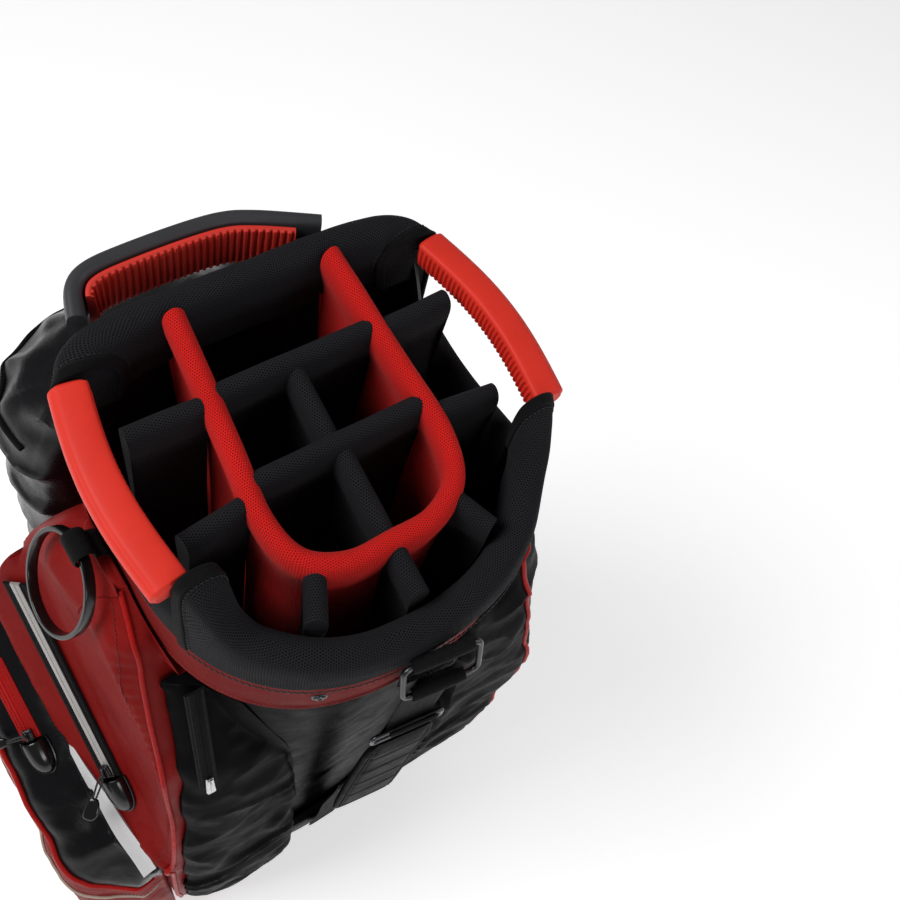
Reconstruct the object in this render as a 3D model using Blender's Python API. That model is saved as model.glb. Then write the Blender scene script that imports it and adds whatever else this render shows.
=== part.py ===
"""Golf cart bag: padded mesh mouth with a full-length club divider, moulded
side handles, a ribbed front handle, stuffed pockets with sliding zips, a towel
ring and a padded shoulder strap hung from a metal ring on the spine.

Frame: metres, +Z up, origin at the middle of the base's resting face.
+Y is the spine (strap) side, -Y the pocket front, +X the red pocket side.
"""
import math

import bpy
import bmesh
from mathutils import Matrix, Vector

# ---------------------------------------------------------------- dimensions
GAP = 0.0005                 # clearance between pieces that touch
Z_MOUTH = 0.850              # height of the mouth plane at y = 0
TILT = -0.3227               # the mouth plane rises to the front, falls to the spine
RIM_A, RIM_BB, RIM_BF, RIM_YC = 0.147, 0.148, 0.122, 0.010
RIM_N, RIM_M = 2.35, 6.0     # roundness of the back half, squareness of the front
BASE_A, BASE_BB, BASE_BF, BASE_YC, BASE_M = 0.146, 0.104, 0.112, 0.0, 3.0
Z_BASE, Z_FULL = 0.05, 0.77  # the outline blends from base to rim between these
NPHI = 48                    # facets round the tube
NMOUTH = 96                  # facets round the mouth's nested pieces

COLLAR_OUT = 0.0052          # outer leg of the padded collar
COLLAR_SLOT = 0.0104         # where its inner leg starts
COLLAR_IN = 0.0240
COLLAR_LOW = 0.767           # lower edge of the collar's outer leg
COLLAR_LEG_IN = 0.050
FRAME_O, FRAME_I = 0.0058, 0.0098
CUFF_O, CUFF_I = 0.0028, 0.0052
TUBE_O, TUBE_I = 0.0104, 0.0136
STAY_O, STAY_I = 0.0154, 0.0184
LINER = 0.0250               # where the divider's spokes end

GRIP_Y0, GRIP_Y1 = -0.0775, 0.0680
PANEL_T = 0.0044             # divider panel
BEAD_T = 0.0150              # padded top of a divider
BEAD_H = 0.020
DIV_LOW = 0.030              # foot of the dividers


# ---------------------------------------------------------------- helpers
for o in list(bpy.data.objects):
    bpy.data.objects.remove(o, do_unlink=True)


def material(name, rgb, rough, metal=0.0):
    m = bpy.data.materials.get(name)
    if m is None:
        m = bpy.data.materials.new(name)
        m.use_nodes = True
        b = m.node_tree.nodes["Principled BSDF"]
        b.inputs["Base Color"].default_value = (*rgb, 1.0)
        b.inputs["Roughness"].default_value = rough
        b.inputs["Metallic"].default_value = metal
    return m


MESH_BLACK = material("mesh_black", (0.012, 0.012, 0.013), 0.85)
FABRIC_RED = material("fabric_red", (0.75, 0.03, 0.02), 0.7)
SHELL_RED = material("coated_red", (0.21, 0.022, 0.024), 0.45)
SHELL_BLACK = material("coated_black", (0.012, 0.012, 0.013), 0.35)
GRIP_RED = material("grip_red", (0.70, 0.055, 0.032), 0.45)
PLASTIC = material("plastic_black", (0.02, 0.02, 0.022), 0.4)
GREY = material("plastic_grey", (0.035, 0.036, 0.04), 0.5)
TAPE = material("reflective_tape", (0.30, 0.29, 0.28), 0.4)
WEB = material("webbing_black", (0.012, 0.012, 0.013), 0.8)
METAL = material("gunmetal", (0.10, 0.10, 0.11), 0.3, 1.0)
STEEL = material("steel", (0.55, 0.55, 0.56), 0.3, 1.0)
ALU = material("aluminium", (0.6, 0.6, 0.62), 0.4, 1.0)
RUBBER = material("rubber", (0.015, 0.015, 0.015), 0.8)


def make(name, verts, faces, mat, angle=40.0):
    me = bpy.data.meshes.new(name)
    me.from_pydata([tuple(v) for v in verts], [], faces)
    me.update()
    bm = bmesh.new()
    bm.from_mesh(me)
    bmesh.ops.remove_doubles(bm, verts=bm.verts, dist=1e-7)
    bmesh.ops.recalc_face_normals(bm, faces=bm.faces)
    if bm.calc_volume(signed=True) < 0:
        bmesh.ops.reverse_faces(bm, faces=bm.faces)
    bm.to_mesh(me)
    bm.free()
    me.shade_smooth()
    me.set_sharp_from_angle(angle=math.radians(angle))
    ob = bpy.data.objects.new(name, me)
    ob.data.materials.append(mat)
    bpy.context.scene.collection.objects.link(ob)
    return ob


def set_origin(ob, p):
    """Put the object's origin at p without moving its mesh in the world."""
    p = Vector(p)
    ob.data.transform(Matrix.Translation(-p))
    ob.location = p
    return ob


def loft(name, rings, mat, closed=False, angle=40.0):
    """Skin equal-length rings; cap the ends unless the loft closes on itself."""
    n = len(rings[0])
    verts = [v for r in rings for v in r]
    faces = []
    m = len(rings)
    for i in range(m if closed else m - 1):
        a, b = i * n, ((i + 1) % m) * n
        for j in range(n):
            k = (j + 1) % n
            faces.append((a + j, a + k, b + k, b + j))
    if not closed:
        faces.append(tuple(range(n))[::-1])
        faces.append(tuple((m - 1) * n + j for j in range(n)))
    return make(name, verts, faces, mat, angle)


def cut(ob, cutter, op="DIFFERENCE"):
    cutter.hide_render = True
    cutter.display_type = "WIRE"
    md = ob.modifiers.new("cut", "BOOLEAN")
    md.operation = op
    md.object = cutter
    md.solver = "EXACT"


def lerp(a, b, t):
    return a + (b - a) * t


def smooth(t):
    t = min(1.0, max(0.0, t))
    return t * t * (3 - 2 * t)


def outline(phi, z, off=0.0):
    """Plan outline of the bag at height z, moved inwards by off."""
    t = min(1.0, max(0.0, (z - Z_BASE) / (Z_FULL - Z_BASE)))
    a = lerp(BASE_A, RIM_A, t) - off
    c, s = math.cos(phi), math.sin(phi)
    if s >= 0:
        b, e = lerp(BASE_BB, RIM_BB, t) - off, RIM_N
    else:
        b, e = lerp(BASE_BF, RIM_BF, t) - off, lerp(BASE_M, RIM_M, t)
    r = ((abs(c) / a) ** e + (abs(s) / b) ** e) ** (-1.0 / e)
    return Vector((r * c, lerp(BASE_YC, RIM_YC, t) + r * s, z))


def phi_at_y(y, z, off=0.0, side=1):
    """Outline angle on the +X (side=1) or -X side where the outline is at y."""
    lo, hi = -math.pi / 2, math.pi / 2
    for _ in range(50):
        mid = (lo + hi) / 2
        if outline(mid, z, off).y < y:
            lo = mid
        else:
            hi = mid
    phi = (lo + hi) / 2
    return phi if side > 0 else math.pi - phi


def crest(p):
    """Height of the mouth plane over a plan point."""
    return Z_MOUTH + TILT * p.y


def chaikin(pts, times=2):
    for _ in range(times):
        out = []
        for i, p in enumerate(pts):
            q = pts[(i + 1) % len(pts)]
            out.append(p.lerp(q, 0.25))
            out.append(p.lerp(q, 0.75))
        pts = out
    return pts


def frames(pts, up, closed=False):
    """Tangent, side and up vectors along a path."""
    out = []
    n = len(pts)
    for i in range(n):
        if closed:
            t = pts[(i + 1) % n] - pts[i - 1]
        else:
            t = pts[min(n - 1, i + 1)] - pts[max(0, i - 1)]
        t.normalize()
        u = up(i) if callable(up) else Vector(up)
        s = t.cross(u).normalized()
        out.append((t, s, s.cross(t).normalized()))
    return out


def sweep(name, pts, up, section, mat, closed=False, angle=40.0):
    """Sweep a section of (side, up) pairs along a path; section may be a
    function of the station number."""
    rings = []
    for i, (p, (t, s, u)) in enumerate(zip(pts, frames(pts, up, closed))):
        sec = section(i) if callable(section) else section
        rings.append([p + s * a + u * b for a, b in sec])
    return loft(name, rings, mat, closed, angle)


def rect(w, h, cham=0.0):
    w, h = w / 2, h / 2
    if cham <= 0:
        return [(-w, -h), (w, -h), (w, h), (-w, h)]
    c = cham
    return [(-w + c, -h), (w - c, -h), (w, -h + c), (w, h - c),
            (w - c, h), (-w + c, h), (-w, h - c), (-w, -h + c)]


def circle(r, n=8):
    return [(r * math.cos(2 * math.pi * k / n), r * math.sin(2 * math.pi * k / n)) for k in range(n)]


def box(name, lo, hi, mat):
    (x0, y0, z0), (x1, y1, z1) = lo, hi
    v = [(x0, y0, z0), (x1, y0, z0), (x1, y1, z0), (x0, y1, z0),
         (x0, y0, z1), (x1, y0, z1), (x1, y1, z1), (x0, y1, z1)]
    f = [(0, 3, 2, 1), (4, 5, 6, 7), (0, 1, 5, 4), (1, 2, 6, 5), (2, 3, 7, 6), (3, 0, 4, 7)]
    return make(name, v, f, mat)


def shell(name, levels, mat, n=NPHI):
    """Thin-walled ring: levels of (z or z(phi), outer offset, inner offset)."""
    outer, inner = [], []
    for zf, oo, oi in levels:
        ro, ri = [], []
        for k in range(n):
            phi = 2 * math.pi * k / n
            z = zf(phi) if callable(zf) else zf
            ro.append(outline(phi, z, oo))
            ri.append(outline(phi, z, oi))
        outer.append(ro)
        inner.append(ri)
    return loft(name, outer + inner[::-1], mat, closed=True)


# ---------------------------------------------------------------- base and tube
def base_tray():
    n = NPHI
    rings = []
    for z, off in ((0.003, 0.010), (0.008, 0.002), (0.022, -0.0050), (0.062, -0.0065), (0.066, -0.0050),
                   (0.066, 0.0042), (0.026, 0.0052)):
        rings.append([Vector((*outline(2 * math.pi * k / n, Z_BASE, off).xy, z)) for k in range(n)])
    loft("base_tray", rings, PLASTIC)


def base_sole():
    """Rubber sole plate under the tray; the bag rests on it."""
    n = NPHI
    rings = []
    for z, off in ((0.0, 0.0120), (0.0008, 0.0112), (0.003 - 0.0003, 0.0112)):
        rings.append([Vector((*outline(2 * math.pi * k / n, Z_BASE, off).xy, z)) for k in range(n)])
    loft("base_sole", rings, RUBBER)


def body_tube():
    shell("body_tube", [(0.0268, TUBE_O + 0.001, TUBE_I + 0.001), (0.067, TUBE_O, TUBE_I), (0.25, TUBE_O, TUBE_I),
                        (0.50, TUBE_O, TUBE_I), (0.715, TUBE_O, TUBE_I)], SHELL_BLACK)


def body_stays():
    """Three flat aluminium stays between base and frame, inside the tube."""
    for name, phi in (("stay_spine_right", math.radians(62)), ("stay_spine_left", math.radians(118)),
                      ("stay_front", math.radians(270))):
        rings = []
        d = 0.045
        for z in (0.030, 0.2, 0.4, 0.6, 0.700):
            e = 0.0012 if z < 0.1 else 0
            rings.append([outline(ph, z, off + e) for ph, off in
                          ((phi - d, STAY_O), (phi + d, STAY_O), (phi + d, STAY_I), (phi - d, STAY_I))])
        loft(name, rings, ALU)


# ---------------------------------------------------------------- mouth
PH_F = {s: phi_at_y(-0.0815, 0.86, 0.0, s) for s in (1, -1)}   # front ends of the side gaps
PH_B = {s: phi_at_y(0.0715, 0.83, 0.0, s) for s in (1, -1)}    # back ends


def side_edge(y):
    """Top edge of the low wall under a side handle."""
    t = (y + 0.005) / 0.078
    return 0.787 + 0.020 * min(1.0, abs(t)) ** 2.2


def front_crest(phi):
    return crest(outline(phi, 0.88))


def back_crest(phi):
    p = outline(phi, 0.82)
    d = min((p.xy - outline(PH_B[s], 0.82).xy).length for s in (1, -1))
    return crest(p) + 0.003 + 0.040 * (1 - smooth(d / 0.050))


def wall_top(phi):
    """Top edge of the moulded frame's wall all the way round."""
    s = 1 if math.cos(phi) > 0 else -1
    c = phi if s > 0 else math.pi - phi
    c = math.atan2(math.sin(c), math.cos(c))
    lo, hi = PH_F[1], PH_B[1]
    m = 0.055
    if c < lo - m:
        return front_crest(phi) - 0.016
    if c > hi + m:
        return back_crest(phi) - 0.016
    y = outline(phi, 0.80).y
    low = side_edge(y) - 0.006
    if c < lo + 0.02:
        return lerp(front_crest(phi) - 0.016, low, smooth((c - lo + m) / (m + 0.02)))
    if c > hi - 0.02:
        return lerp(low, back_crest(phi) - 0.016, smooth((c - hi + 0.02) / (m + 0.02)))
    return low


def top_frame():
    shell("top_frame", [(0.694, FRAME_O, FRAME_I), (0.745, FRAME_O, FRAME_I),
                        (wall_top, FRAME_O, FRAME_I)], PLASTIC, n=NMOUTH)


def stations(a0, a1):
    """The end angles with every common grid angle between them."""
    d = 2 * math.pi / NMOUTH
    sgn = 1 if a1 > a0 else -1
    out = [a0]
    k = math.floor(a0 / d) + 1 if sgn > 0 else math.ceil(a0 / d) - 1
    while (a1 - k * d) * sgn > 0.25 * d:
        if (k * d - a0) * sgn > 0.25 * d:
            out.append(k * d)
        k += sgn
    out.append(a1)
    return out


def squared(phi, prof, ends):
    """Section points; near an end they share one y, so the end face is square."""
    pts = []
    for o, h in prof:
        ph = phi
        for pe in ends:
            p0 = outline(pe, h)
            d = (outline(phi, h).xy - p0.xy).length
            w = 1 - smooth(d / 0.035)
            if w > 0:
                side = 1 if math.cos(pe) > 0 else -1
                target = phi_at_y(p0.y, h, o, side)
                delta = math.atan2(math.sin(target - pe), math.cos(target - pe))
                ph = ph + delta * w
        pts.append(outline(ph, h, o))
    return pts


def u_profile(top, low_out, leg_in, roll=0.010):
    """Upside-down U over the frame's wall, in (offset, height) pairs."""
    m = COLLAR_IN / 2
    return [(0.0, low_out), (0.0, top - roll), (0.0032, top - 0.0030), (m - 0.002, top), (m + 0.004, top),
            (COLLAR_IN - 0.003, top - 0.0035), (COLLAR_IN, top - roll), (COLLAR_IN, top - leg_in),
            (COLLAR_SLOT, top - leg_in), (COLLAR_SLOT, top - 0.0135), (COLLAR_OUT, top - 0.0135), (COLLAR_OUT, low_out)]


def collars():
    # front half, from the right front corner round to the left
    a0, a1 = PH_F[1], -math.pi - PH_F[1]
    loft("collar_front", [squared(p, u_profile(front_crest(p), COLLAR_LOW, COLLAR_LEG_IN), (a0, a1))
                          for p in stations(a0, a1)], MESH_BLACK)
    a0, a1 = PH_B[1], math.pi - PH_B[1]
    loft("collar_back", [squared(p, u_profile(back_crest(p), COLLAR_LOW, COLLAR_LEG_IN), (a0, a1))
                         for p in stations(a0, a1)], MESH_BLACK)
    # thin mesh lining over the low walls under the side handles
    for s, name in ((1, "side_lining_right"), (-1, "side_lining_left")):
        a0 = PH_F[1] + 0.06
        a1 = PH_B[1] - 0.035
        rings = []
        for c in stations(a0, a1):
            phi = c if s > 0 else math.pi - c
            y = outline(phi, 0.80).y
            top = side_edge(y)
            prof = [(0.0012, 0.770), (0.0012, top - 0.004), (0.0045, top), (0.0112, top), (0.0140, top - 0.004),
                    (0.0140, 0.722), (0.0104, 0.722), (0.0104, top - 0.0045), (0.0052, top - 0.0045), (0.0052, 0.770)]
            rings.append([outline(phi, h, o) for o, h in prof])
        loft(name, rings, MESH_BLACK)


def cuff():
    shell("cuff_band", [(lambda p: 0.700 + 0.010 * math.sin(p), CUFF_O, CUFF_I),
                        (COLLAR_LOW - 0.0006, CUFF_O, CUFF_I)], SHELL_RED, n=NMOUTH)
    # screws that hold the cuff to the frame, heads proud of the band
    for name, phi in (("cuff_screw_right", math.radians(60)), ("cuff_screw_left", math.radians(120))):
        c = outline(phi, 0.742, CUFF_O)
        t = (outline(phi + 0.01, 0.742, CUFF_O) - c).normalized()
        nrm = t.cross(Vector((0, 0, 1))).normalized()
        rings = []
        for d, r in ((0.0005, 0.0052), (0.0016, 0.0050), (0.0022, 0.0040)):
            rings.append([c + nrm * d + (t * math.cos(2 * math.pi * k / 12) + Vector((0, 0, 1)) * math.sin(2 * math.pi * k / 12)) * r
                          for k in range(12)])
        loft(name, rings, METAL)


def grips():
    """Moulded side handles: a bowed bar with a bevelled outer edge."""
    for s, name in ((1, "side_handle_right"), (-1, "side_handle_left")):
        pts = []
        n = 16
        for i in range(n + 1):
            t = i / n
            y = lerp(GRIP_Y0, GRIP_Y1, t)
            bow = math.sin(math.pi * t)
            x = lerp(0.1345, 0.1400, t) + 0.0085 * bow
            z = lerp(0.8650, 0.8530, t) + 0.003 * bow
            pts.append(Vector((s * x, y, z)))
        sec = [(-0.0125, -0.009), (-0.0085, -0.012), (0.0075, -0.012), (0.0130, -0.008),
               (0.0140, 0.002), (0.0090, 0.0095), (-0.0095, 0.0115), (-0.0130, 0.008)]
        sec = [(a * s, b) for a, b in sec]
        sweep(name, pts, (0, 0, 1), sec, GRIP_RED)


def front_handle():
    """Bracket moulded on the front of the frame, with a ribbed liner inside."""
    path = [(0.1110, -0.1165), (0.1040, -0.1385), (0.0900, -0.1480), (0.0600, -0.1500), (0.0200, -0.1505),
            (-0.0100, -0.1485), (-0.0300, -0.1405), (-0.0500, -0.1300), (-0.0690, -0.1196)]
    pts = [Vector((x, y, 0.866 - 0.10 * (y + 0.15))) for x, y in path]
    sec = [(-0.0060, -0.021), (0.0060, -0.021), (0.0065, 0.014), (0.0030, 0.020), (-0.0060, 0.020), (-0.0065, 0.014)]
    bar = sweep("front_handle_frame", pts, (0, 0, 1), [(-a, b) for a, b in sec], GREY)
    # the liner runs along the bracket's inner face, short of its feet
    fr = frames(pts, (0, 0, 1))
    side = 1 if (Vector((0.02, -0.11, 0)) - pts[4]).dot(fr[4][1]) > 0 else -1
    liner = [p + sd * (side * 0.0098) for p, (t, sd, u) in zip(pts, fr)][1:-1]
    sweep("front_handle_liner", liner, (0, 0, 1), rect(0.0036, 0.034, 0.0008), GRIP_RED)


# ---------------------------------------------------------------- divider
def depth_map(x, y, z):
    """Carry a mouth plan point down the tube as it tapers."""
    top = Z_MOUTH
    t = min(1.0, max(0.0, (z - Z_BASE) / (Z_FULL - Z_BASE)))
    bb = lerp(BASE_BB, RIM_BB, t) - LINER
    bf = lerp(BASE_BF, RIM_BF, t) - LINER
    a = lerp(BASE_A, RIM_A, t) - LINER
    yy = y - RIM_YC
    k = bb / (RIM_BB - LINER) if yy >= 0 else bf / (RIM_BF - LINER)
    return Vector((x * a / (RIM_A - LINER), lerp(BASE_YC, RIM_YC, t) + yy * k, z))


def divider(name, pts, mat, drop=0.0):
    """A full-depth panel with a padded top bead along a plan path."""
    pts = [Vector((p[0], p[1], 0)) for p in pts]
    fr = frames(pts, (0, 0, 1))
    rings = []
    for p, (t, s, u) in zip(pts, fr):
        top = Z_MOUTH + 0.012 + TILT * p.y - drop
        w, v = BEAD_T / 2, PANEL_T / 2
        prof = [(-v * 0.8, DIV_LOW), (v * 0.8, DIV_LOW), (v, top - 0.060), (w * 0.92, top - BEAD_H), (w, top - 0.008),
                (w * 0.62, top - 0.0015), (0.0, top), (-w * 0.62, top - 0.0015), (-w, top - 0.008),
                (-w * 0.92, top - BEAD_H), (-v, top - 0.060)]
        ring = []
        for a, z in prof:
            q = p + s * a
            ring.append(depth_map(q.x, q.y, z))
        rings.append(ring)
    return loft(name, rings, mat)


def u_path():
    """Plan of the red U: legs at the front, a rounded bottom at the spine side."""
    ctrl = [(0.0585, -0.0840), (0.0610, -0.0500), (0.0650, 0.0000), (0.0690, 0.0450), (0.0600, 0.0780),
            (0.0330, 0.0935), (0.0, 0.0945)]
    pts = [Vector((x, y, 0)) for x, y in ctrl]
    pts += [Vector((-p.x, p.y, 0)) for p in pts[-2::-1]]
    # smooth with Catmull-Rom
    out = []
    m = len(pts)
    for i in range(m - 1):
        p0, p1, p2, p3 = pts[max(0, i - 1)], pts[i], pts[i + 1], pts[min(m - 1, i + 2)]
        for k in range(3):
            t = k / 3
            out.append(0.5 * ((2 * p1) + (p2 - p0) * t + (2 * p0 - 5 * p1 + 4 * p2 - p3) * t * t
                              + (3 * p1 - 3 * p2 + p3 - p0) * t * t * t))
    out.append(pts[-1])
    return out


def dividers():
    up = u_path()
    divider("divider_u", up, FABRIC_RED)
    h = BEAD_T / 2 + GAP

    def leg_x(y):
        """Inside reach of the U's right leg near y."""
        xs = []
        for d in (-0.010, 0.0, 0.010):
            for p, q in zip(up, up[1:]):
                if p.x > 0 and q.x > 0 and p.y <= y + d <= q.y:
                    xs.append(lerp(p.x, q.x, (y + d - p.y) / (q.y - p.y)))
        return min(xs)

    # two cross panels between the legs of the U
    for name, y in (("divider_cross_front", -0.0340), ("divider_cross_back", 0.0245)):
        x = leg_x(y) - h - 0.0004
        divider(name, [(x, y), (x * 0.5, y), (-x * 0.5, y), (-x, y)], MESH_BLACK, drop=0.002)
    # centre panels
    divider("divider_mid_front", [(0.003, -0.0340 + h + 0.0002), (0.003, -0.005), (0.003, 0.0245 - h - 0.0003)], MESH_BLACK, drop=0.006)
    divider("divider_mid_back", [(0.0, 0.0245 + h + 0.0002), (0.0, 0.055), (0.0, 0.0945 - h - 0.0006)], MESH_BLACK, drop=0.006)

    def spoke(name, a, b):
        """Panel from the U outwards to the lining."""
        a, b = Vector((*a, 0)), Vector((*b, 0))
        d = (b - a).normalized()
        a = a + d * (h + 0.0012)
        # stop at the lining
        lo, hi = 0.0, 0.2
        for _ in range(40):
            mid = (lo + hi) / 2
            q = a + d * mid
            t = q - Vector((0, RIM_YC, 0))
            ph = math.atan2(t.y, t.x)
            # a bead's half width is kept off the lining
            if t.length < (outline(ph, 0.84, LINER + 0.0045) - Vector((0, RIM_YC, 0.84))).length:
                lo = mid
            else:
                hi = mid
        e = a + d * lo
        divider(name, [a, a.lerp(e, 0.5), e], MESH_BLACK, drop=0.004)

    spoke("divider_spoke_front_right", (0.0635, -0.0310), (0.1300, -0.0330))
    spoke("divider_spoke_mid_right", (0.0685, 0.0330), (0.1350, 0.0400))
    spoke("divider_spoke_back_right", (0.0520, 0.0845), (0.0760, 0.1300))
    spoke("divider_spoke_back", (0.0, 0.0945), (0.0, 0.1500))
    spoke("divider_spoke_back_left", (-0.0520, 0.0845), (-0.0760, 0.1300))
    spoke("divider_spoke_mid_left", (-0.0685, 0.0330), (-0.1350, 0.0400))
    spoke("divider_spoke_front_left", (-0.0635, -0.0310), (-0.1300, -0.0330))


# ---------------------------------------------------------------- pockets
def body_cutter():
    """The tube, base and frame's outer skin, slightly enlarged, solid."""
    rings = []
    for z, off in ((-0.02, -0.0075), (0.066 + 0.0008, -0.0075), (0.0675, TUBE_O - 0.0008), (0.25, TUBE_O - 0.0008),
                   (0.50, TUBE_O - 0.0008), (0.685, TUBE_O - 0.0008), (0.687, -0.0006), (0.95, -0.0006)):
        rings.append([outline(2 * math.pi * k / NPHI, z, off) for k in range(NPHI)])
    return loft("body_cutter", rings, PLASTIC)


def pocket(name, levels, mat, cutter, extra=()):
    """Loft of smoothed plan polygons, cut to the body."""
    rings = []
    for z, ctrl in levels:
        rings.append([Vector((p.x, p.y, z)) for p in chaikin([Vector((x, y, 0)) for x, y in ctrl], 2)])
    ob = loft(name, rings, mat)
    for c in (cutter,) + tuple(extra):
        if c is not None:
            cut(ob, c)
    return ob


def interp(table, z):
    for (z0, *a), (z1, *b) in zip(table, table[1:]):
        if z0 <= z <= z1:
            t = (z - z0) / (z1 - z0)
            return [lerp(p, q, t) for p, q in zip(a, b)]
    return list(table[0][1:]) if z < table[0][0] else list(table[-1][1:])


# z, outer x, front y, piping x, piping y of the red side pocket
RIGHT = [(0.040, 0.183, -0.090, 0.172, 0.092), (0.075, 0.196, -0.108, 0.186, 0.106), (0.200, 0.1975, -0.114, 0.1955, 0.122),
         (0.350, 0.1980, -0.116, 0.192, 0.120), (0.448, 0.1990, -0.116, 0.180, 0.110), (0.547, 0.2002, -0.115, 0.172, 0.094),
         (0.620, 0.2010, -0.112, 0.1648, 0.0692), (0.660, 0.1950, -0.104, 0.1609, 0.0556), (0.700, 0.1800, -0.088, 0.157, 0.042),
         (0.728, 0.1650, -0.070, 0.154, 0.020), (0.738, 0.1560, -0.055, 0.1515, 0.005)]
LEFT = [(0.040, 0.186, -0.090, 0.160, 0.104), (0.075, 0.203, -0.108, 0.172, 0.117), (0.140, 0.212, -0.112, 0.184, 0.127),
        (0.200, 0.212, -0.114, 0.190, 0.132), (0.350, 0.212, -0.116, 0.197, 0.140), (0.448, 0.212, -0.116, 0.184, 0.142),
        (0.540, 0.201, -0.115, 0.166, 0.138), (0.620, 0.188, -0.110, 0.146, 0.126), (0.660, 0.178, -0.102, 0.137, 0.116),
        (0.685, 0.165, -0.085, 0.133, 0.108)]


def side_pockets(cutter):
    zs = (0.040, 0.060, 0.085, 0.140, 0.220, 0.300, 0.380, 0.448, 0.500, 0.547, 0.590, 0.620, 0.645, 0.670, 0.700,
          0.722, 0.738)
    levels = []
    for z in zs:
        xo, yf, xp, yp = interp(RIGHT, z)
        levels.append((z, [(0.100, yf + 0.004), (0.130, yf), (xo - 0.004, yf - 0.002), (xo + 0.0004, yf + 0.022),
                           (xo, yf + 0.080), (xo, min(yp - 0.060, 0.045)), (xo - 0.001, yp - 0.024), (xp + 0.004, yp + 0.002),
                           (xp - 0.016, yp), (0.110, yp), (0.085, yp)]))
    red = pocket("pocket_right", levels, SHELL_RED, cutter)
    levels = []
    for z in zs:
        if z > 0.690:
            continue
        xo, yf, xp, yp = interp(LEFT, z)
        levels.append((z, [(-0.085, yp), (-0.110, yp), (-xp + 0.012, yp + 0.001), (-xp - 0.004, yp), (-xo + 0.001, yp - 0.032),
                           (-xo, yp - 0.080), (-xo, yf + 0.070), (-xo + 0.0004, yf + 0.020), (-xo + 0.010, yf),
                           (-0.130, yf), (-0.100, yf + 0.004)]))
    left = pocket("pocket_left", levels, SHELL_BLACK, cutter)
    # black gussets that close the pockets towards the spine
    for name, table, s, zt in (("gusset_right", RIGHT, 1, 0.690),):
        levels = []
        for z in zs:
            if z > zt:
                continue
            xo, yf, xp, yp = interp(table, z)
            yp += 0.0010
            w = 0.020 if s > 0 else 0.006
            ctrl = [(0.070, yp), (0.095, yp), (xp - 0.012, yp), (xp - 0.006, yp + 0.002), (xp - 0.020, yp + w * 0.6),
                    (xp - 0.050, yp + w), (0.085, yp + w), (0.070, yp + w * 0.8)]
            if s < 0:
                ctrl = [(-x, y) for x, y in ctrl][::-1]
            levels.append((z, ctrl))
        pocket(name, levels, SHELL_BLACK, cutter)
    return red, left


SHELF_Z, SHELF_RUN = 0.418, -0.8      # top of the lower pocket at y = 0, and its fall towards the spine
SHELF_X, SHELF_SLOPE = 0.228, -0.619  # where its sloping top starts, and that slope along +X


def outer_pockets(cutter):
    # lower pocket on the outside of the red side pocket, its top sheared down to the spine
    lower = [(0.050, 0.246), (0.070, 0.264), (0.110, 0.276), (0.200, 0.283), (0.300, 0.284), (0.350, 0.282),
             (0.378, 0.2775), (0.392, 0.270), (SHELF_Z, SHELF_X)]
    levels = []
    x0 = 0.2030
    for z, xo in lower:
        k = (xo - x0)
        levels.append((z, [(x0, -0.118), (x0 + 0.20 * k, -0.130), (xo - 0.30 * k, -0.136), (xo, -0.118), (xo, -0.070),
                           (xo, 0.000), (xo, 0.050), (xo - 0.06 * k, 0.082), (x0 + 0.35 * k, 0.110), (x0 + 0.02 * k, 0.112), (x0, 0.100),
                           (x0, 0.0)]))
    ob = pocket("pocket_right_lower", levels, SHELL_RED, None)
    for v in ob.data.vertices:
        w = smooth((v.co.z - 0.12) / (0.378 - 0.12))
        v.co.z += SHELF_RUN * w * v.co.y
    # front pockets
    up = [(0.445, -0.236), (0.460, -0.248), (0.520, -0.255), (0.600, -0.255), (0.680, -0.255), (0.715, -0.247),
          (0.738, -0.228), (0.750, -0.202), (0.757, -0.176)]
    for name, table, mat in (("pocket_front_upper", up, SHELL_BLACK),
                             ("pocket_front_lower", [(0.050, -0.236), (0.066, -0.256), (0.110, -0.268), (0.160, -0.272),
                                                     (0.300, -0.272), (0.400, -0.266), (0.424, -0.248), (0.434, -0.226)],
                              SHELL_RED)):
        levels = []
        for z, yo in table:
            d = max(0.0, (z - 0.70)) * 0.5
            xr = 0.172 - d if z > 0.44 else 0.160
            levels.append((z, [(-0.060, -0.080), (-0.070, -0.100), (-0.078, -0.121), (-0.110, -0.1195), (-0.134, -0.128),
                               (-0.136, yo + 0.060), (-0.118, yo + 0.008), (-0.080, yo), (-0.030, yo), (0.030, yo),
                               (0.080, yo), (xr - 0.040, yo + 0.010), (xr, yo + 0.060), (xr - 0.002, -0.138),
                               (xr - 0.026, -0.1205), (0.110, -0.1195), (0.078, -0.121), (0.070, -0.100), (0.060, -0.080)]))
        pocket(name, levels, mat, cutter)


# ---------------------------------------------------------------- zips
def box_on(name, c, t, n, size, mat, taper=1.0, cham=0.0012):
    """Chamfered block centred at c: length along t, height along n."""
    t, n = Vector(t).normalized(), Vector(n).normalized()
    s = t.cross(n).normalized()
    ln, w, h = size
    rings = []
    for k, sc in ((-0.5, 0.8), (-0.42, 1.0), (0.42, taper), (0.5, 0.8 * taper)):
        rings.append([Vector(c) + t * (ln * k) + s * (a * sc) + n * (b * (1 if b < 0 else sc))
                      for a, b in rect(w, h, cham)])
    return loft(name, rings, mat)


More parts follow.
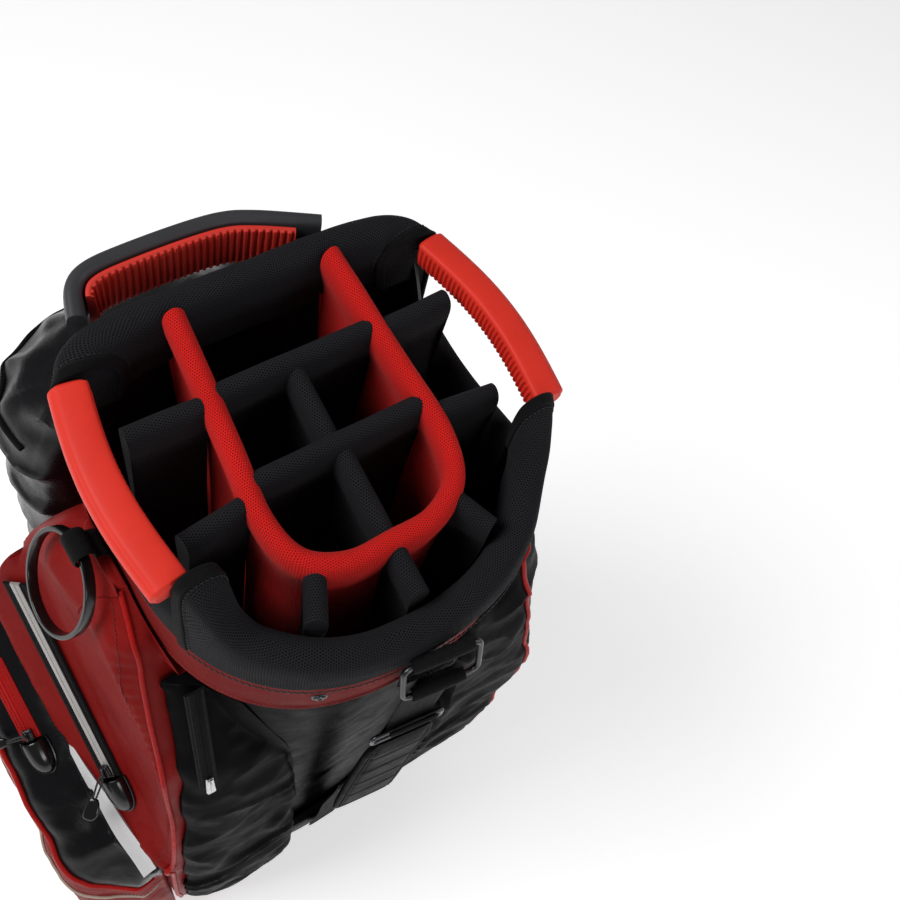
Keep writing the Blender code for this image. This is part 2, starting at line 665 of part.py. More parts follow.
def dome(name, c, t, n, size, mat):
    """Zip garage: a half-round hood, blunt at its mouth, tapering to its tip."""
    t, n = Vector(t).normalized(), Vector(n).normalized()
    s = t.cross(n).normalized()
    ln, w, h = size
    rings = []
    for k, sc in ((0.0, 0.86), (0.10, 0.97), (0.35, 1.0), (0.62, 0.90), (0.84, 0.62), (0.97, 0.26), (1.0, 0.12)):
        r = []
        for j in range(9):
            a = math.pi * j / 8
            r.append(Vector(c) + t * (ln * k) + s * (math.cos(a) * w / 2 * sc) + n * (math.sin(a) * h * sc))
        rings.append(r)
    return loft(name, rings, mat)


ZC = Vector((0.2010, 0.424, 0.817))            # centre of the curved zip's arc
ZN = Vector((1.0, 0.0, -0.0116)).normalized()  # normal of the face it lies on
Z_TOP = Vector((0.0, -0.092, 0.618))
Z_END = Vector((0.0, 0.0365, 0.425))


def face_x(z):
    return 0.2000 + 0.0116 * (z - 0.405)


def zip_arc(u, lift):
    """Point at fraction u (0 closed end, 1 top) of the curved zip, lifted off the face."""
    a = Vector((0, Z_END.y - ZC.y, Z_END.z - ZC.z))
    b = Vector((0, Z_TOP.y - ZC.y, Z_TOP.z - ZC.z))
    a0, a1 = math.atan2(a.z, a.y), math.atan2(b.z, b.y)
    r = lerp(a.length, b.length, 0.5)
    g = lerp(a0, a1, u)
    p = Vector((0, ZC.y + r * math.cos(g), ZC.z + r * math.sin(g)))
    p.x = face_x(p.z)
    t = Vector((0, -math.sin(g), math.cos(g))) * (-1 if a1 < a0 else 1)
    return p + ZN * lift, t


def zips():
    # curved zip on the red side pocket
    pts = [zip_arc(u / 14, 0.0016)[0] for u in range(15)]
    sweep("zip_tape_right", pts, ZN, rect(0.022, 0.0012), TAPE)
    p, t = zip_arc(0.0, 0.0008)
    dome("zip_garage_right", p - t * 0.0006, -t, ZN, (0.040, 0.024, 0.0105), PLASTIC)
    p, t = zip_arc(0.036, 0.0)
    box_on("zip_slider_right", p + ZN * 0.0060, t, ZN, (0.012, 0.009, 0.0070), METAL, 0.85)
    # its cord puller with a moulded tab, hung from the slider's bridge
    piv = p + ZN * 0.0125
    d = Vector((0.0255, 0.021, -0.022)).normalized()
    q = [piv, piv + d * 0.006, piv + d * 0.016, piv + d * 0.022, piv + d * 0.036, piv + d * 0.042]
    w = [(0.004, 0.0030), (0.0045, 0.0026), (0.0045, 0.0026), (0.0130, 0.0050), (0.0150, 0.0050), (0.0090, 0.0036)]
    n = d.cross(Vector((0.636, -0.772, 0))).normalized()
    ob = sweep("zip_pull_right", q, n, lambda i: rect(w[i][0], w[i][1], 0.0006), PLASTIC)
    set_origin(ob, piv)
    # straight zip along the sloping top of the lower pocket
    n = Vector((-SHELF_SLOPE, -SHELF_RUN, 1.0)).normalized()
    t = Vector((0.0, 1.0, SHELF_RUN)).normalized()

    def shelf(y, lift, x=0.249):
        return Vector((x, y, SHELF_Z + SHELF_RUN * y + SHELF_SLOPE * (x - SHELF_X))) + n * lift

    sweep("zip_tape_lower", [shelf(-0.098, 0.0014), shelf(-0.065, 0.0014), shelf(-0.0335, 0.0014)], n, rect(0.018, 0.0012), TAPE)
    dome("zip_garage_lower", shelf(-0.0330, 0.0007) + t * 0.0006, t, n, (0.036, 0.022, 0.0105), PLASTIC)
    box_on("zip_slider_lower", shelf(-0.0378, 0.0060), t, n, (0.011, 0.009, 0.0070), METAL, 0.85)
    piv = shelf(-0.0400, 0.0125)
    s = t.cross(n).normalized()
    d = s * math.cos(math.radians(8)) - n * math.sin(math.radians(8))
    q = [piv, piv + d * 0.006, piv + d * 0.014, piv + d * 0.019, piv + d * 0.030, piv + d * 0.035]
    nn = d.cross(t).normalized()
    ob = sweep("zip_pull_lower", q, nn, lambda i: rect(w[i][0] * 0.9, w[i][1], 0.0006), PLASTIC)
    set_origin(ob, piv)
    # long zip down the black gusset
    t = Vector((-0.098, -0.340, 1.0)).normalized()
    n = Vector((0.0, 1.0, 0.340)).normalized()
    n = (n - t * n.dot(t)).normalized()
    a = Vector((0.172 - 0.0240, 0.094 + 0.0210, 0.547))

    def gus(z, lift):
        return a + t * ((z - 0.547) / t.z) + n * lift

    sweep("zip_tape_gusset", [gus(0.556, 0.0022), gus(0.600, 0.0022), gus(0.672, 0.0022)], n, rect(0.016, 0.0010), WEB)
    box_on("zip_slider_gusset", gus(0.560, 0.0058), t, n, (0.018, 0.008, 0.0052), STEEL, 0.8)
    # upright zip on the outside of the left pocket
    xf = -0.212
    sweep("zip_tape_left", [Vector((xf - 0.0012, 0.010, z)) for z in (0.165, 0.30, 0.432)], (-1, 0, 0), rect(0.022, 0.0012), TAPE)
    box_on("zip_slider_left", (xf - 0.0060, 0.010, 0.172), (0, 0, 1), (-1, 0, 0), (0.020, 0.009, 0.0070), METAL, 0.85)
    # level zips across the front pockets
    sweep("zip_tape_front_upper", [Vector((x, -0.2562, 0.640)) for x in (-0.058, 0.0, 0.058)], (0, -1, 0), rect(0.020, 0.0012), TAPE)
    box_on("zip_slider_front_upper", (0.050, -0.2610, 0.640), (1, 0, 0), (0, -1, 0), (0.020, 0.009, 0.0070), METAL, 0.85)
    sweep("zip_tape_front_lower", [Vector((x, -0.2732, 0.255)) for x in (-0.058, 0.0, 0.058)], (0, -1, 0), rect(0.020, 0.0012), TAPE)
    box_on("zip_slider_front_lower", (0.050, -0.2780, 0.255), (1, 0, 0), (0, -1, 0), (0.020, 0.009, 0.0070), METAL, 0.85)


# ---------------------------------------------------------------- strap and rings
YAW = math.radians(-8)
RING_AT = Vector((0.0, 0.1672, 0.781))        # middle of the strap ring's top bar
RING_R = 0.0022
RING_DROP, RING_TILT = 0.0345, math.radians(15)
BAR_Z = (-0.139, -0.153)                      # the slider's two bars below the ring's top bar


def strap_space(p):
    """Strap coordinates (along the bars, outwards, up) to the bag's frame."""
    return RING_AT + Matrix.Rotation(YAW, 3, "Z") @ Vector(p)


def strip(name, pts, width, thick, mat, x0=0.0, back=False):
    """Webbing: a flat strip that follows a polyline in the (outwards, up)
    plane, as wide as width along the bars."""
    n = len(pts)
    left, right = [], []
    for i, p in enumerate(pts):
        a = Vector(pts[max(0, i - 1)])
        b = Vector(pts[min(n - 1, i + 1)])
        t = (b - a).normalized()
        m = Vector((-t.y, t.x)) * thick / 2
        left.append(Vector(p) + m)
        right.append(Vector(p) - m)
    poly = left + right[::-1]
    rings = [[strap_space((x0 + x, q.x, q.y)) for q in poly] for x in (-width / 2, width / 2)]
    return loft(name, rings, mat)


def arc_pts(c, r, a0, a1, n):
    return [(c[0] + r * math.cos(math.radians(lerp(a0, a1, k / n))), c[1] + r * math.sin(math.radians(lerp(a0, a1, k / n))))
            for k in range(n + 1)]


def wire_loop(name, w, h, r, place, mat, corner=0.006):
    """Rounded rectangular ring of wire; place maps (across, down) to the frame."""
    pts = []
    for cx, cy, a0 in ((w / 2 - corner, -corner, 90), (w / 2 - corner, -h + corner, 0),
                       (-w / 2 + corner, -h + corner, -90), (-w / 2 + corner, -corner, -180)):
        for k in range(4):
            a = math.radians(a0 - 30 * k)
            pts.append((cx + corner * math.cos(a), cy + corner * math.sin(a)))
    P = [place(*p) for p in pts]
    c = sum(P, Vector()) / len(P)
    nrm = (P[4] - P[0]).cross(P[8] - P[0]).normalized()
    return sweep(name, P, nrm, circle(r, 8), mat, closed=True)


def strap():
    # the ring's bottom bar, in (outwards, up)
    lo = (RING_DROP * math.sin(RING_TILT), -RING_DROP * math.cos(RING_TILT))
    # stitched loop that holds the ring to the cuff
    pts = [(-0.0060, -0.056), (-0.0060, -0.030), (-0.0052, -0.016)] + arc_pts((0, 0), 0.0042, 205, -60, 9)
    strip("strap_loop", pts, 0.046, 0.0022, WEB)
    # metal ring
    ob = wire_loop("strap_ring", 0.0580, RING_DROP, RING_R,
                   lambda a, b: strap_space((a, -b * math.sin(RING_TILT), b * math.cos(RING_TILT))), METAL)
    set_origin(ob, RING_AT)
    # upper webbing: round the ring's bottom bar, down, and round the slider's top bar
    top = arc_pts(lo, 0.0042, -60, 180, 9)
    bar = (0.0040, BAR_Z[0])
    bot = arc_pts(bar, 0.0040, 150, 410, 9)
    strip("strap_web_upper", top + [(lo[0] - 0.0042, lo[1] - 0.006), (bar[0] - 0.0042, bar[1] + 0.010)] + bot, 0.040, 0.0020, WEB, x0=0.002)
    # slider
    wire_loop("strap_slider", 0.0600, 0.0140, 0.0019,
              lambda a, b: strap_space((a + 0.006, 0.0040, BAR_Z[0] + b)), METAL, corner=0.004)
    # padded strap, its top loop round the slider's lower bar
    rings = []
    for z, hw, y0, y1, dx in ((-0.160, 0.024, 0.0035, 0.0075, 0.007), (-0.166, 0.028, 0.0015, 0.0085, 0.008),
                              (-0.180, 0.0295, 0.0000, 0.0100, 0.010), (-0.240, 0.0300, 0.0000, 0.0105, 0.016),
                              (-0.300, 0.0300, 0.0005, 0.0110, 0.021), (-0.330, 0.0295, 0.0015, 0.0105, 0.023),
                              (-0.341, 0.0285, 0.0030, 0.0090, 0.024)):
        c = 0.003
        rings.append([strap_space((dx + a, b, z)) for a, b in
                      ((-hw + c, y0), (hw - c, y0), (hw, y0 + c * 0.6), (hw, y1 - c * 0.6), (hw - c, y1),
                       (-hw + c, y1), (-hw, y1 - c * 0.6), (-hw, y0 + c * 0.6))])
    loft("strap_pad", rings, SHELL_BLACK)
    # lower webbing, from behind the pad down to the tray
    pts = [Vector((0.024, 0.1560, 0.470)), Vector((0.024, 0.1545, 0.440)), Vector((0.023, 0.1480, 0.380)),
           Vector((0.018, 0.1390, 0.300)), Vector((0.010, 0.1300, 0.200)), Vector((0.004, 0.1200, 0.110)),
           Vector((0.0, 0.1145, 0.062)), Vector((0.0, 0.1135, 0.038))]
    sweep("strap_web_lower", pts, (0, 1, 0), rect(0.038, 0.0022), WEB)


TOWEL_AT = Vector((0.1645, -0.0300, 0.7560))
TOWEL_TILT = math.radians(26)


def towel_ring():
    d = Vector((math.sin(TOWEL_TILT), 0, -math.cos(TOWEL_TILT)))
    nrm = Vector((math.cos(TOWEL_TILT), 0, math.sin(TOWEL_TILT)))
    rings = []
    n = 32
    rd, ry = 0.0430, 0.0370
    c = TOWEL_AT + d * rd
    for k in range(n):
        a = 2 * math.pi * k / n
        rad = -d * math.cos(a) * rd + Vector((0, 1, 0)) * math.sin(a) * ry
        out = rad.normalized()
        p = c + rad
        w, h = 0.0036 / 2, 0.0080 / 2
        rings.append([p - out * w - nrm * h, p + out * w - nrm * h, p + out * w + nrm * h, p - out * w + nrm * h])
    ob = loft("towel_ring", rings, PLASTIC, closed=True)
    set_origin(ob, TOWEL_AT)
    # webbing loop stitched to the cuff
    poly = [(0.1456, 0.716), (0.1458, 0.738), (0.1500, 0.750)] + \
           [(TOWEL_AT.x + 0.0077 * math.cos(math.radians(g)), TOWEL_AT.z + 0.0077 * math.sin(math.radians(g)))
            for g in (200, 165, 130, 95, 60, 25, -10, -45)]
    left, right = [], []
    for i, p in enumerate(poly):
        a, b = Vector(poly[max(0, i - 1)]), Vector(poly[min(len(poly) - 1, i + 1)])
        t = (b - a).normalized()
        m = Vector((-t.y, t.x)) * 0.0010
        left.append(Vector(p) + m)
        right.append(Vector(p) - m)
    sec = left + right[::-1]
    loft("towel_ring_loop", [[Vector((q.x, y, q.y)) for q in sec] for y in (-0.0415, -0.0185)], WEB)


base_tray()
base_sole()
body_tube()
body_stays()
top_frame()
collars()
cuff()
grips()
front_handle()
dividers()
CUT = body_cutter()
side_pockets(CUT)
outer_pockets(CUT)
zips()
strap()
towel_ring()
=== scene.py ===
"""Looks for the golf cart bag: soft goods, trims, zips and their materials
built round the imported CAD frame. Metres, +Z up, +Y the spine side."""

import math
import bpy
import bmesh
import numpy as np
from mathutils import Matrix, Vector, noise


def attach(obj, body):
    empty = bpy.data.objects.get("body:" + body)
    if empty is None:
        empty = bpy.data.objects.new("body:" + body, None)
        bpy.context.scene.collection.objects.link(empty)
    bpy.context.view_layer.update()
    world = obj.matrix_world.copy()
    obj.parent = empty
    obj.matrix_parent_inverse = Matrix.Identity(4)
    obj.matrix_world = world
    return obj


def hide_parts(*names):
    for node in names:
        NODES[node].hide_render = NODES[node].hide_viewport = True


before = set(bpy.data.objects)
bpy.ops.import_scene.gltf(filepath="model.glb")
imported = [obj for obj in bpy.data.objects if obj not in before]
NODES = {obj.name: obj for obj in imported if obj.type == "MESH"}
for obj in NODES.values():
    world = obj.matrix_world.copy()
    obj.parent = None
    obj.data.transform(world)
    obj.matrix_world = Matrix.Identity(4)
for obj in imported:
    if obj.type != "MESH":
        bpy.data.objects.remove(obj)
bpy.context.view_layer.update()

# ================================================================ camera, floor and light
cam_data = bpy.data.cameras.new("camera")
cam = bpy.data.objects.new("camera", cam_data)
bpy.context.scene.collection.objects.link(cam)
RIGHT_V = Vector((-0.8125323, 0.55637648, 0.17388639))
DOWN_V = Vector((0.41210865, 0.75925975, -0.50367757))
FORE_V = Vector((-0.41225929, -0.33759421, -0.84621063))
rot = Matrix((RIGHT_V, -DOWN_V, -FORE_V)).transposed()
cam.matrix_world = Matrix.Translation((0.22583, 0.30065, 1.43583)) @ rot.to_4x4()
cam_data.sensor_width = 36.0
cam_data.lens = 41.93
cam_data.clip_start = 0.01
bpy.context.scene.camera = cam

world = bpy.data.worlds.new("studio")
world.use_nodes = True
world.node_tree.nodes["Background"].inputs["Color"].default_value = (1.0, 1.0, 1.0, 1.0)
world.node_tree.nodes["Background"].inputs["Strength"].default_value = 0.20
bpy.context.scene.world = world
bpy.context.scene.view_settings.view_transform = "Standard"


def area(name, loc, target, size, power, size_y=None):
    d = bpy.data.lights.new(name, "AREA")
    d.energy = power
    d.size = size
    if size_y:
        d.shape = "RECTANGLE"
        d.size_y = size_y
    o = bpy.data.objects.new(name, d)
    bpy.context.scene.collection.objects.link(o)
    o.location = loc
    o.rotation_euler = (Vector(target) - Vector(loc)).to_track_quat("-Z", "Y").to_euler()
    return o


area("key", (1.5, -0.6, 2.5), (0, 0, 0.6), 1.3, 50)
area("fill", (-1.9, 1.2, 2.0), (0, 0, 0.6), 1.6, 16)
area("rim", (0.2, 2.2, 1.3), (0, 0, 0.6), 1.0, 9, 0.5)


# ================================================================ node helpers
class Mat:
    """A procedural material being built."""

    def __init__(self, name):
        self.m = bpy.data.materials.new(name)
        self.m.use_nodes = True
        self.nt = self.m.node_tree
        self.b = self.nt.nodes["Principled BSDF"]
        self._obj = None

    def n(self, kind, **props):
        x = self.nt.nodes.new("ShaderNode" + kind)
        for k, v in props.items():
            setattr(x, k, v)
        return x

    def put(self, sock, v):
        if hasattr(v, "is_linked"):
            self.nt.links.new(v, sock)
        elif isinstance(v, (tuple, list)) and len(v) == 3 and sock.type == "RGBA":
            sock.default_value = (*v, 1.0)
        else:
            sock.default_value = v

    def coord(self, kind="Object"):
        if self._obj is None:
            self._obj = self.n("TexCoord")
        return self._obj.outputs[kind]

    def math(self, op, a, b=None, c=None, clamp=False):
        x = self.n("Math", operation=op, use_clamp=clamp)
        for s, v in zip(x.inputs, (a, b, c)):
            if v is not None:
                self.put(s, v)
        return x.outputs[0]

    def xyz(self, v):
        x = self.n("SeparateXYZ")
        self.put(x.inputs[0], v)
        return x.outputs

    def scale(self, v, s):
        x = self.n("Mapping")
        self.put(x.inputs["Vector"], v)
        x.inputs["Scale"].default_value = s if isinstance(s, (tuple, list)) else (s, s, s)
        return x.outputs[0]

    def noise(self, scale, detail=2.0, rough=0.5, vec=None, dist=0.0):
        x = self.n("TexNoise")
        self.put(x.inputs["Vector"], vec if vec is not None else self.coord())
        x.inputs["Scale"].default_value = scale
        x.inputs["Detail"].default_value = detail
        x.inputs["Roughness"].default_value = rough
        x.inputs["Distortion"].default_value = dist
        return x.outputs[0]

    def voronoi(self, scale, feature="F1", vec=None):
        x = self.n("TexVoronoi", feature=feature)
        self.put(x.inputs["Vector"], vec if vec is not None else self.coord())
        x.inputs["Scale"].default_value = scale
        return x.outputs[0]

    def remap(self, v, a, b, c=0.0, d=1.0):
        x = self.n("MapRange")
        for k, s in zip(("Value", "From Min", "From Max", "To Min", "To Max"), (v, a, b, c, d)):
            self.put(x.inputs[k], s)
        return x.outputs[0]

    def mix(self, f, a, b):
        x = self.n("Mix", data_type="RGBA")
        self.put(x.inputs[0], f)
        self.put(x.inputs[6], a)
        self.put(x.inputs[7], b)
        return x.outputs[2]

    def bump(self, h, strength, dist, normal=None):
        x = self.n("Bump")
        x.inputs["Strength"].default_value = strength
        x.inputs["Distance"].default_value = dist
        self.put(x.inputs["Height"], h)
        if normal is not None:
            self.put(x.inputs["Normal"], normal)
        return x.outputs[0]

    def set(self, **kw):
        for k, v in kw.items():
            self.put(self.b.inputs[k.replace("_", " ")], v)
        return self


def dark(c, k):
    return tuple(x * k for x in c)


def air_mesh(name, c, pitch=0.0024, hole_shade=0.16, sheen=0.25):
    """Knitted spacer mesh: rows of small holes between soft threads, the holes darkened with painted shade."""
    m = Mat(name)
    u, v, _ = m.xyz(m.coord("UV"))
    wob = m.math("MULTIPLY", m.math("SUBTRACT", m.noise(60, 1), 0.5), pitch * 1.2)
    u = m.math("ADD", u, wob)
    k = 4 * math.pi / (math.sqrt(3) * pitch)
    a = m.math("COSINE", m.math("MULTIPLY", u, k))
    ux = m.math("MULTIPLY", u, -k / 2)
    vy = m.math("MULTIPLY", v, k * math.sqrt(3) / 2)
    b = m.math("COSINE", m.math("ADD", ux, vy))
    c3 = m.math("COSINE", m.math("SUBTRACT", ux, vy))
    h = m.math("ADD", m.math("ADD", a, b), c3)
    hole = m.remap(h, 0.1, 1.9)
    fuzz = m.noise(5200, 2)
    soft = m.noise(24, 3)
    lit = m.mix(m.remap(fuzz, 0.3, 0.7), dark(c, 0.72), tuple(min(1, x * 1.22) for x in c))
    lit = m.mix(m.remap(soft, 0.3, 0.75, 0.0, 0.35), lit, dark(c, 0.7))
    # painted shade: the colour in the holes is darkened, standing in for the shade inside them
    m.set(Base_Color=m.mix(hole, lit, dark(c, hole_shade)))
    m.set(Roughness=m.remap(hole, 0, 1, 0.72, 0.95))
    hgt = m.math("ADD", m.math("MULTIPLY", hole, -1.0), m.math("MULTIPLY", fuzz, 0.28))
    m.set(Normal=m.bump(hgt, 0.85, 0.0007))
    m.b.inputs["Sheen Weight"].default_value = sheen
    m.b.inputs["Sheen Roughness"].default_value = 0.4
    m.b.inputs["Specular IOR Level"].default_value = 0.05
    return m.m


def coated(name, c, rough=0.36, coat=0.25, crinkle=1.0, warm=None, spec=0.12):
    """Waterproof shell: fine plain weave under a soft film, with crinkles."""
    m = Mat(name)
    u, v, _ = m.xyz(m.coord("UV"))
    w1 = m.math("SINE", m.math("MULTIPLY", u, 2 * math.pi / 0.0011))
    w2 = m.math("SINE", m.math("MULTIPLY", v, 2 * math.pi / 0.0011))
    weave = m.math("MULTIPLY", w1, w2)
    big = m.noise(9, 3, 0.55)
    mid = m.noise(38, 4, 0.6, dist=0.6)
    fine = m.noise(420, 3)
    base = m.mix(m.remap(big, 0.3, 0.7), dark(c, 0.80), tuple(min(1, x * 1.15) for x in (warm or c)))
    base = m.mix(m.remap(fine, 0.35, 0.65, 0.0, 0.22), base, dark(c, 0.62))
    m.set(Base_Color=base)
    m.set(Roughness=m.remap(m.math("ADD", mid, m.math("MULTIPLY", fine, 0.35)), 0.45, 0.95, rough - 0.07, rough + 0.12))
    n1 = m.bump(mid, 0.13 * crinkle, 0.0040)
    n2 = m.bump(m.math("ADD", m.math("MULTIPLY", weave, 0.5), m.math("MULTIPLY", fine, 0.5)), 0.35, 0.00016, n1)
    m.set(Normal=n2)
    m.b.inputs["Coat Weight"].default_value = coat
    m.b.inputs["Coat Roughness"].default_value = 0.22
    m.b.inputs["Specular IOR Level"].default_value = spec
    return m.m


def moulded(name, c, rough, grain=1800, depth=0.00012, spec=0.5, wear=1.25):
    """Moulded plastic or elastomer with a fine grain and faint handling marks."""
    m = Mat(name)
    g = m.noise(grain, 2)
    s = m.noise(14, 4, 0.6)
    scr = m.noise(60, 5, 0.7, vec=m.scale(m.coord(), (1, 9, 2)))
    col = m.mix(m.remap(s, 0.3, 0.75), dark(c, 0.90), tuple(min(1, x * 1.06) for x in c))
    col = m.mix(m.remap(scr, 0.62, 0.78, 0.0, 0.25), col, tuple(min(1, x * wear + 0.01) for x in c))
    m.set(Base_Color=col, Roughness=m.remap(m.math("ADD", s, m.math("MULTIPLY", scr, 0.6)), 0.5, 1.1, rough - 0.05, rough + 0.10))
    m.set(Normal=m.bump(g, 0.5, depth))
    m.b.inputs["Specular IOR Level"].default_value = spec
    return m.m


def webbing(name, c, rib=0.0016, sheen=0.2):
    """Woven tape: ribs along it crossed by a herringbone of weft."""
    m = Mat(name)
    u, v, _ = m.xyz(m.coord("UV"))
    tri = m.math("PINGPONG", v, 0.0040)
    d = m.math("ADD", u, m.math("MULTIPLY", tri, 1.0))
    r = m.math("SINE", m.math("MULTIPLY", d, 2 * math.pi / rib))
    s = m.math("SINE", m.math("MULTIPLY", v, 2 * math.pi / 0.0010))
    h = m.math("ADD", m.math("MULTIPLY", r, 0.6), m.math("MULTIPLY", s, 0.4))
    f = m.noise(2600, 2)
    # painted shade and highlight: the colour follows the rib height, darker in the grooves and lighter on the crests
    col = m.mix(m.remap(h, -0.8, 0.8), dark(c, 0.35), tuple(min(1, x * 1.5 + 0.004) for x in c))
    m.set(Base_Color=m.mix(m.remap(f, 0.4, 0.6, 0, 0.3), col, dark(c, 0.5)), Roughness=m.remap(h, -1, 1, 0.85, 0.55))
    m.set(Normal=m.bump(m.math("ADD", h, m.math("MULTIPLY", f, 0.3)), 0.7, 0.0004))
    m.b.inputs["Sheen Weight"].default_value = sheen
    m.b.inputs["Specular IOR Level"].default_value = 0.08
    return m.m


def metal(name, c, rough):
    m = Mat(name)
    s = m.noise(90, 5, 0.7, vec=m.scale(m.coord(), (1, 1, 6)))
    t = m.noise(1500, 2)
    m.set(Base_Color=m.mix(m.remap(s, 0.35, 0.7), dark(c, 0.8), c), Roughness=m.remap(s, 0.3, 0.75, rough - 0.06, rough + 0.14))
    m.set(Normal=m.bump(t, 0.15, 0.00005))
    m.b.inputs["Metallic"].default_value = 1.0
    return m.m


def reflective(name, c):
    """Retroreflective tape: fine honeycomb under a satin film."""
    m = Mat(name)
    vo = m.voronoi(1500, "DISTANCE_TO_EDGE")
    s = m.noise(30, 3)
    col = m.mix(m.remap(vo, 0.0, 0.12), dark(c, 0.72), c)
    m.set(Base_Color=m.mix(m.remap(s, 0.35, 0.75, 0, 0.4), col, dark(c, 0.8)), Roughness=m.remap(s, 0.3, 0.7, 0.30, 0.48))
    m.set(Normal=m.bump(vo, 0.3, 0.0001))
    m.b.inputs["Metallic"].default_value = 0.25
    return m.m


def thread(name, c):
    m = Mat(name)
    h = m.noise(3800, 2)
    m.set(Base_Color=m.mix(m.remap(h, 0.35, 0.65), dark(c, 0.6), tuple(min(1, x * 1.2) for x in c)), Roughness=m.remap(h, 0, 1, 0.5, 0.8))
    m.set(Normal=m.bump(h, 0.6, 0.0002))
    return m.m


BLACK = (0.0085, 0.0085, 0.0092)
M = {
    "mesh_black": air_mesh("mesh_black", (0.0175, 0.0175, 0.0205), 0.0020, 0.05, 0.02),
    "mesh_red": air_mesh("mesh_red", (0.68, 0.016, 0.013), 0.0018, 0.32, 0.05),
    "shell_red": coated("shell_red", (0.205, 0.0075, 0.0075), 0.40, 0.0, 1.0, warm=(0.215, 0.012, 0.010), spec=0.025),
    "shell_red_dull": coated("shell_red_dull", (0.165, 0.020, 0.018), 0.46, 0.10, 0.7),
    "cuff_red": coated("cuff_red", (0.165, 0.0125, 0.0115), 0.46, 0.0, 0.45, spec=0.012),
    "shell_black": coated("shell_black", (0.0046, 0.0046, 0.0056), 0.24, 0.0, 1.2, spec=0.20),
    # shaded copy of shell_black for the tube, gusset, left pocket and strap pad: darker base colour and specular nearly
    # off, painted shade
    "shell_matt": coated("shell_matt", (0.0034, 0.0034, 0.0040), 0.34, 0.0, 1.0, spec=0.008),
    "grip_red": moulded("grip_red", (0.70, 0.034, 0.020), 0.46, 2600, 0.00010, 0.16, 1.06),
    "liner_red": moulded("liner_red", (0.62, 0.030, 0.018), 0.50, 2600, 0.00010, 0.4, 1.1),
    "handle_grey": moulded("handle_grey", (0.034, 0.0345, 0.039), 0.44, 1500, 0.00025, 0.35, 1.4),
    "plastic_black": moulded("plastic_black", (0.007, 0.007, 0.008), 0.45, 1500, 0.0002, 0.12, 1.8),
    "plastic_gloss": moulded("plastic_gloss", (0.0050, 0.0050, 0.0055), 0.17, 900, 0.00003, 0.45, 1.8),
    "rubber_black": moulded("rubber_black", (0.012, 0.012, 0.012), 0.72, 900, 0.0004, 0.3, 2.5),
    "webbing_black": webbing("webbing_black", (0.0038, 0.0038, 0.0044), 0.0016, 0.015),
    "tape_black": webbing("tape_black", (0.0040, 0.0040, 0.0046), 0.0009, 0.015),
    "tape_grey": reflective("tape_grey", (0.40, 0.385, 0.37)),
    # painted highlight: white material for the strip laid along the lower pocket's glossy top
    "strip_white": reflective("strip_white", (0.78, 0.78, 0.79)),
    "metal_dark": metal("metal_dark", (0.075, 0.075, 0.080), 0.30),
    "steel": metal("steel", (0.62, 0.62, 0.63), 0.22),
    "aluminium": metal("aluminium", (0.72, 0.72, 0.73), 0.36),
    "thread_black": thread("thread_black", (0.012, 0.012, 0.012)),
    "thread_red": thread("thread_red", (0.16, 0.010, 0.010)),
    "piping_red": coated("piping_red", (0.36, 0.012, 0.011), 0.34, 0.0, 0.3, spec=0.04),
    "piping_beige": coated("piping_beige", (0.42, 0.33, 0.27), 0.45, 0.1, 0.3),
    "binding_black": webbing("binding_black", (0.0036, 0.0036, 0.0042), 0.0012, 0.012),
}


# ================================================================ mesh helpers
def lerp(a, b, t):
    return a + (b - a) * t


def smooth(t):
    t = min(1.0, max(0.0, t))
    return t * t * (3 - 2 * t)


def link(name, me, mat, body="bag", replaces=()):
    ob = bpy.data.objects.new(name, me)
    for x in (mat if isinstance(mat, (list, tuple)) else [mat]):
        me.materials.append(M[x])
    bpy.context.scene.collection.objects.link(ob)
    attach(ob, body)
    if replaces:
        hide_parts(*replaces)
    return ob


